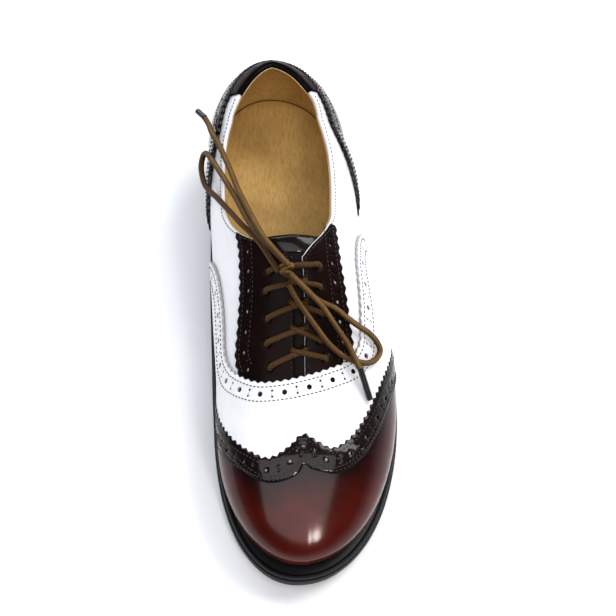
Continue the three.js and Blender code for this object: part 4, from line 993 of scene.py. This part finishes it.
panel("wing_band_leather", "wing_band", between(pinked(wing_edge, 3.9, -1.15), wing_seam),
      brogue(beside(wing_edge, 5.2), 12.6, 0.85, 0.42, 1.1), GAP, WING_TOP, dark, skived=(wing_seam, 0.5, 3.5))
cap_top = beside(wing_seam, -SEAM_UNDER)
cap_outline = joined(cap_top, feather_line("lateral", station_of(cap_top[-1]), 1)[1:-1],
                     feather_line("medial", 1, station_of(cap_top[0]))[:-1])
panel("toe_cap_leather", "toe_cap", cap_outline, [], GAP, THIN_TOP, burgundy, 1.3, burnished=wing_seam)
vamp_holes = brogue(beside(vamp_edge, 5.0), 12.0, 1.15, 0.48, 1.4, 8.0, 0.0)
panel("vamp_leather", "vamp", between(pinked(vamp_edge, 3.9, -0.9), beside(wing_edge, SEAM_UNDER)), vamp_holes,
      GAP, VAMP_TOP, white_raw_edge_shaded)

for side, sign in SIGN.items():
    inner = opening_line(side, 0.4, 0.685, GAP if side == "lateral" else 0.0)
    outer = smooth_curve(table_line(FACING_EDGE, side, np.linspace(0.4, 0.685, 60)), 0.8)
    first = 0 if side == "medial" else 2  # the column of this side's eyelets
    eyelets = [(chart_point(row[first], sign * row[first + 1]), 1.75) for row in ROWS]
    holes = brogue(moved(outer, 5.0 * sign), 8.6, 0.85, 0.42, 0.95, 4.0, 12.0)
    panel("facing_leather_" + side, "facing_" + side, joined(inner, pinked(outer, 4.8, -1.2 * sign)[::-1]),
          holes + eyelets, GAP, THIN_TOP, soft_dark, 1.4)

counter_edge = edge_line([(s, -g) for s, g in COUNTER_EDGE[::-1]] + COUNTER_EDGE[1:])
counter_outline = joined(pinked(counter_edge, 4.0, 1.1),
                         feather_line("lateral", station_of(counter_edge[-1]), 0)[1:],
                         feather_line("medial", 0, station_of(counter_edge[0]))[:-1])
counter_holes = brogue(beside(counter_edge, -4.6), 11.0, 0.9, 0.42, 1.0)
panel("counter_leather", "counter", counter_outline, counter_holes, GAP, WING_TOP, polished, 1.6)

strip_stations = np.linspace(0, STRIP_END, 30)
strip_rounds = read(STRIP_EDGE, 1, strip_stations)
strip_top = joined(opening_line("medial", STRIP_END, 0, 0.3), opening_line("lateral", 0, STRIP_END, 0.3))
strip_low = joined(side_line("lateral", strip_stations[::-1], strip_rounds[::-1]),
                   side_line("medial", strip_stations, strip_rounds))
panel("collar_strip_leather", "collar_strip", joined(strip_top, respaced(strip_low, 0.8)), [], GAP, THIN_TOP,
      soft_dark, 1.3)

tongue_out = -WALL - GAP * 1.5
tongue_stations = np.linspace(TONGUE_EDGE[0][0], TONGUE_EDGE[-1][0], 60)
tongue_rounds = np.linspace(-0.27, 0.26, 40)
top_stations = TONGUE_EDGE[0][0] + 0.008 * (1 - (tongue_rounds / 0.27) ** 2)
tongue_top = respaced(chart_point(top_stations, tongue_rounds), 0.9)
tongue_outline = joined(respaced(table_line(TONGUE_EDGE, "medial", tongue_stations[::-1]), 1.2), tongue_top,
                        respaced(table_line(TONGUE_EDGE, "lateral", tongue_stations), 1.2))
panel("tongue_leather", "tongue", tongue_outline, [], tongue_out - 1.0, tongue_out, soft_dark)
panel("tongue_lining", "tongue", inset(counterclockwise(tongue_outline), -1.0), [], tongue_out - 1.0,
      tongue_out - TONGUE_WALL, lining, 2.0)
band_low = respaced(chart_point(top_stations + 0.033, tongue_rounds)[::-1], 0.9)
panel("tongue_top_band", "tongue", joined(tongue_top, band_low), [], tongue_out - 0.2, tongue_out + 0.3, dark,
      1.5, 0.2)

# At the heel the strip folds over the collar's edge: an arc about the middle of the wall
fold_line = joined(opening_line("medial", STRIP_END, 0), opening_line("lateral", 0, STRIP_END))
fold_radius = WALL / 2 + 0.35
fold_rows = [skin(moved(fold_line, fold_radius * math.sin(a) - WALL / 2), -WALL / 2 + fold_radius * math.cos(a))
             for a in np.linspace(-0.5, 2.7, 12)]
n = len(fold_line)
fold_faces = [(j * n + k, (j + 1) * n + k, (j + 1) * n + k + 1, j * n + k + 1)
              for j in range(len(fold_rows) - 1) for k in range(n - 1)]
mesh_piece("collar_fold_heel", "collar_strip", np.concatenate(fold_rows), fold_faces, soft_dark, 60)

# The lining's edge shows as a thin light line inside the opening
for name, line, inward, out, thick in (
        ("heel", fold_line, 0.5, -WALL / 2 - 0.9, 0.6),
        ("medial", opening_line("medial", STRIP_END, 0.4), -0.1, -WALL + 0.15, 0.4),
        ("lateral", opening_line("lateral", STRIP_END, 0.4)[::-1], -0.1, -WALL + 0.15, 0.5)):
    rope("lining_edge_" + name, "upper", skin(moved(line, inward), out), thick, lining_light, 8)


# Stitches
def stitches(name, rows, look):
    """Rows of (chart line, height): one small thread loop after another, in one mesh."""
    pitch, length, thick, sides, rings = 2.1, 1.5, 0.5, 6, 5
    points, faces = [], []
    angle = np.arange(sides) * 2 * math.pi / sides
    along = np.linspace(-1, 1, rings)
    bulge = np.sqrt(np.maximum(1 - (along * 0.97) ** 4, 0))
    for line, height in rows:
        spots, ways = spaced_spots(line, pitch, pitch / 2, pitch / 2)
        level = height + relief(spots)
        base = skin(spots, level)
        ahead = unit(skin(spots + ways * 0.5, level) - base)
        up = unit(skin(spots, level + 1) - base)
        for b, a, u, s in zip(base, ahead, up, np.cross(ahead, up)):
            first = len(points)
            for t, w in zip(along, bulge):
                for q in angle:
                    points.append(b + a * t * length / 2 + thick / 2 * w * (s * math.cos(q) + u * math.sin(q))
                                  + u * (0.12 - 0.22 * t * t))
            loops = [list(range(first + r * sides, first + (r + 1) * sides)) for r in range(rings)]
            for loop, after in zip(loops, loops[1:]):
                faces += bridged(loop, after)
            faces += [tuple(loops[0]), tuple(loops[-1][::-1])]
    mesh_piece(name, None, points, faces, look, 0)


white_rows = [(beside(vamp_edge, 1.7), VAMP_TOP), (beside(vamp_edge, 8.2), VAMP_TOP)]
dark_rows = [(beside(wing_edge, 2.0), WING_TOP), (beside(wing_edge, 8.4), WING_TOP),
             (beside(wing_seam, -1.3), WING_TOP - 0.42), (beside(wing_seam, -2.9), WING_TOP - 0.25),
             (beside(counter_edge, -1.8), WING_TOP), (beside(counter_edge, -7.6), WING_TOP)]
for side, sign in SIGN.items():
    white_rows.append((opening_line(side, STRIP_END + 0.01, 0.405, 1.5), 0.0))
    outer = smooth_curve(table_line(FACING_EDGE, side, np.linspace(0.405, 0.645, 60)), 0.8)
    dark_rows += [(moved(outer, 2.2 * sign), THIN_TOP), (moved(outer, 8.0 * sign), THIN_TOP),
                  (opening_line(side, 0.41, 0.655, 1.6), THIN_TOP)]
stitches("stitches_on_white", white_rows, thread_dark)
stitches("stitches_on_dark", dark_rows, thread_brown)

# A dark disc under each of the vamp's holes: painted shade over the white quarter beneath
rings = [circle(spot, radius + 0.35, 10) for spot, radius in vamp_holes]
mesh_piece("vamp_hole_shade", None, np.concatenate([skin(ring, GAP * 0.5 + relief(ring)) for ring in rings]),
           [tuple(range(k * 10, k * 10 + 10))[::-1] for k in range(len(rings))], hole_shade, 0)


# Sole
def plan_loop(outlines, gap, count):
    """An outline of the sole, moved inward."""
    sides = []
    for side, sign in SIGN.items():
        heel, toe = outlines[side][:2]
        at = heel + (toe - heel) * (1 - np.cos(np.pi * np.arange(301) / 300)) / 2
        sides.append(np.stack([sign * half_width(outlines[side], at), LENGTH * (0.5 - at)], 1))
    medial, lateral = sides
    loop = respaced(closed(np.concatenate([lateral, medial[-2:0:-1]])), 0.25)[:-1]
    along = unit(np.roll(loop, -3, 0) - np.roll(loop, 3, 0))
    loop = closed(loop - to_left(along) * gap)
    return respaced(loop, length_of(loop) / count)[:-1]


def stations_of(loop):
    return 0.5 - loop[:, 1] / LENGTH


def lifted(loop, height, up=0.0):
    """Plan points at a height that goes by their station."""
    return np.column_stack([loop, height(stations_of(loop)) + up])


def stacked(name, node, loops, look, ring=False):
    """A solid through loops from the bottom up; in a ring the last loop meets the first."""
    count = len(loops[0])
    rows = [list(range(k * count, (k + 1) * count)) for k in range(len(loops))]
    faces = []
    for row, after in zip(rows, rows[1:] + (rows[:1] if ring else [])):
        faces += bridged(row, after)
    if not ring:
        faces += [tuple(rows[0]), tuple(rows[-1][::-1])]
    mesh_piece(name, node, np.concatenate(loops), faces, look, 35)


WELT_INSET = 0.7
SIDE_STEP = 1.1
EDGE = 1.2


def upper_side(at):
    return seat_height(at) - WELT_THICKNESS - GAP


def mid_side(at):
    return (upper_side(at) + underside(at)) / 2


# Inset, height and what is added to it
SOLE_ROWS = [
    (SIDE_STEP + 3 * EDGE, underside, 0.0), (SIDE_STEP + EDGE, underside, 0.0),
    (SIDE_STEP + EDGE * 0.3, underside, EDGE * 0.3), (SIDE_STEP, underside, EDGE), (SIDE_STEP, mid_side, -0.2),
    (SIDE_STEP * 0.85, mid_side, 0.15), (SIDE_STEP * 0.15, mid_side, 0.45), (0, mid_side, 0.75),
    (0, upper_side, -EDGE / 2), (EDGE * 0.2, upper_side, -EDGE * 0.12), (EDGE * 0.6, upper_side, 0),
    (3.0, upper_side, 0),
]
stacked("outsole_rubber", "outsole",
        [lifted(plan_loop(SOLE, gap, 400), height, up) for gap, height, up in SOLE_ROWS], sole_black)

# The welt: outline, inset, height above the seat
WELT_ROWS = [
    (SOLE, WELT_INSET + 2.0, -WELT_THICKNESS), (SOLE, WELT_INSET, -WELT_THICKNESS), (SOLE, WELT_INSET, -EDGE),
    (SOLE, WELT_INSET + 0.2, -EDGE * 0.45), (SOLE, WELT_INSET + 0.6, -0.1), (SOLE, WELT_INSET + 1.1, 0.0),
    (SOLE, WELT_INSET + 1.6, -0.12), (SOLE, WELT_INSET + 1.9, -0.5), (SOLE, WELT_INSET + 2.3, -0.55),
    (SOLE, WELT_INSET + 2.8, -0.35), (FEATHER, 2.0, -0.1), (FEATHER, WELT_LIP, -0.1),
    (FEATHER, WELT_LIP, -WELT_THICKNESS),
]
stacked("welt_rubber", "welt",
        [lifted(plan_loop(plan, gap, 400), seat_height, up) for plan, gap, up in WELT_ROWS], welt_black, True)


def insole_height(at):
    return seat_height(at) + SEAT_GAP + INSOLE_THICKNESS + HEEL_PAD * read(SEAT, 1, at)


# The insole's top, cut where the lining's inner face comes down to it
insole_loop = []
for side, stations in (("medial", np.linspace(0, 1, 240)), ("lateral", np.linspace(1, 0, 240)[1:-1])):
    for station in stations:
        wall = skin(side_line(side, np.full(80, station), np.linspace(0.6, 0.998, 80)), -WALL - GAP)
        under = wall[:, 2] - insole_height(stations_of(wall)) < 0
        insole_loop.append(wall[int(np.argmax(under)) if under.any() else -1, :2])
insole_loop = counterclockwise(respaced(closed(np.array(insole_loop)), 1.5)[:-1])
spots, faces, _ = triangulated([insole_loop], 3.0)
near = distances(spots, insole_loop)
sock = np.column_stack([spots, insole_height(stations_of(spots)) - 0.9 * np.exp(-near / 1.2)])
# Painted shade along the insole's edge at the heel, where it meets the wall; none from station 0.2 on
sock_shade_rim = near + np.where(stations_of(spots) > 0.2, 3.0, 0.0)
mesh_piece("insole_sock", "insole", sock, faces, lining, rim=sock_shade_rim)


# Heel block and top lift: plan loops cut straight across at the heel's breast
def breast_loop(gap, count=200):
    loop = plan_loop(SOLE, gap, 700)
    breast = LENGTH * 0.5 - HEEL_LENGTH
    keep = loop[:, 1] > breast
    start = int(np.argmax(keep & ~np.roll(keep, 1)))
    run = np.roll(loop, -start, 0)[:int(keep.sum())]
    run = np.concatenate([[[run[0, 0], breast]], run, [[run[-1, 0], breast]]])
    across = np.stack([np.linspace(run[-1, 0], run[0, 0], 26)[1:-1], np.full(24, breast)], 1)
    return np.concatenate([respaced(run, length_of(run) / (count - 25)), across])


def flat(at):
    return np.zeros(np.shape(at))


def heel_top(at):
    return np.maximum(underside(at) - GAP, TOP_LIFT + 2 * GAP)


def heel_middle(at):
    return STACK_LOW + 0.5 * (heel_top(at) - STACK_LOW)


STACK_LOW = TOP_LIFT + GAP
LIFT_ROWS = [(SIDE_STEP + 2 * EDGE, flat, 0.0), (SIDE_STEP + 1.3 * EDGE, flat, EDGE * 0.4),
             (SIDE_STEP + EDGE, flat, EDGE), (SIDE_STEP + EDGE, flat, TOP_LIFT)]
HEEL_ROWS = [(SIDE_STEP + EDGE, flat, STACK_LOW), (SIDE_STEP + 0.5 * EDGE, heel_middle, 0.0),
             (SIDE_STEP, heel_top, 0.0)]
for name, node, rows, look in (("top_lift_rubber", "top_lift", LIFT_ROWS, tread_black),
                               ("heel_block_rubber", "heel", HEEL_ROWS, sole_black)):
    stacked(name, node, [lifted(breast_loop(gap), height, up) for gap, height, up in rows], look)

# Floor and light
ROOM = 6  # half the floor's side, in metres
floor_mesh = bpy.data.meshes.new("floor")
floor_mesh.from_pydata([(-ROOM, -ROOM, 0), (ROOM, -ROOM, 0), (ROOM, ROOM, 0), (-ROOM, ROOM, 0)], [],
                       [(0, 1, 2, 3)])
floor = bpy.data.objects.new("floor", floor_mesh)
bpy.context.scene.collection.objects.link(floor)
floor_look = Nodes("pale floor")
floor_tone = floor_look.mixed(floor_look.noise(400.0, 2.0), (0.90, 0.915, 0.94), (0.92, 0.925, 0.935))
floor_mesh.materials.append(floor_look.finish(floor_tone, 0.75, Specular_IOR_Level=0.2)[0])


def lamp(name, kind, power, colour, way):
    """A light that shines along a direction."""
    data = bpy.data.lights.new(name, kind)
    data.energy = power
    data.color = colour
    light = bpy.data.objects.new(name, data)
    bpy.context.scene.collection.objects.link(light)
    light.rotation_euler = Vector(way).to_track_quat("-Z", "Y").to_euler()
    return light


def area_lamp(name, place, aim, size, power, colour, shape="RECTANGLE", turn=0.0):
    light = lamp(name, "AREA", power, colour, Vector(aim) - Vector(place))
    light.data.shape = shape
    light.data.size, light.data.size_y = size
    light.location = place
    light.rotation_euler.rotate_axis("Z", math.radians(turn))


lamp("key", "SUN", 1.85, (1.0, 0.985, 0.96), (-1.2, -0.77, -1.67)).data.angle = 0.62
area_lamp("ceiling", (-0.37, -0.95, 1.9), (-0.37, -0.95, 0.0), (2.5, 1.6), 28, (0.97, 0.97, 1.0), turn=-14)
area_lamp("back", (-0.5, 1.9, 1.5), (0, 0, 0.03), (3.0, 1.5), 38, (0.93, 0.96, 1.0))
area_lamp("front", (0.38, -1.15, 1.24), (0.0, -0.11, 0.04), (0.2, 0.3), 4.5, (1.0, 0.94, 0.86), "ELLIPSE")
world = bpy.data.worlds.new("world")
bpy.context.scene.world = world
world.use_nodes = True
sky = world.node_tree.nodes
spots = sky.new("ShaderNodeTexCoord")
split = sky.new("ShaderNodeSeparateXYZ")
ramp = sky.new("ShaderNodeValToRGB")
world.node_tree.links.new(spots.outputs["Generated"], split.inputs["Vector"])
world.node_tree.links.new(split.outputs["Z"], ramp.inputs["Fac"])
world.node_tree.links.new(ramp.outputs["Color"], sky["Background"].inputs["Color"])
ramp.color_ramp.elements[0].position = 0.0
ramp.color_ramp.elements[0].color = (0.95, 1.0, 1.1, 1)
ramp.color_ramp.elements[1].position = 0.42
ramp.color_ramp.elements[1].color = (0.05, 0.055, 0.065, 1)
side = sky.new("ShaderNodeMapRange")  # the left side of the room is the darker one
side.inputs["From Min"].default_value = -0.9
side.inputs["From Max"].default_value = 0.1
side.inputs["To Min"].default_value = 0.42
side.inputs["To Max"].default_value = 1.0
world.node_tree.links.new(split.outputs["X"], side.inputs["Value"])
world.node_tree.links.new(side.outputs["Result"], sky["Background"].inputs["Strength"])
bpy.context.scene.view_settings.view_transform = "Standard"
bpy.context.scene.view_settings.look = "Medium High Contrast"
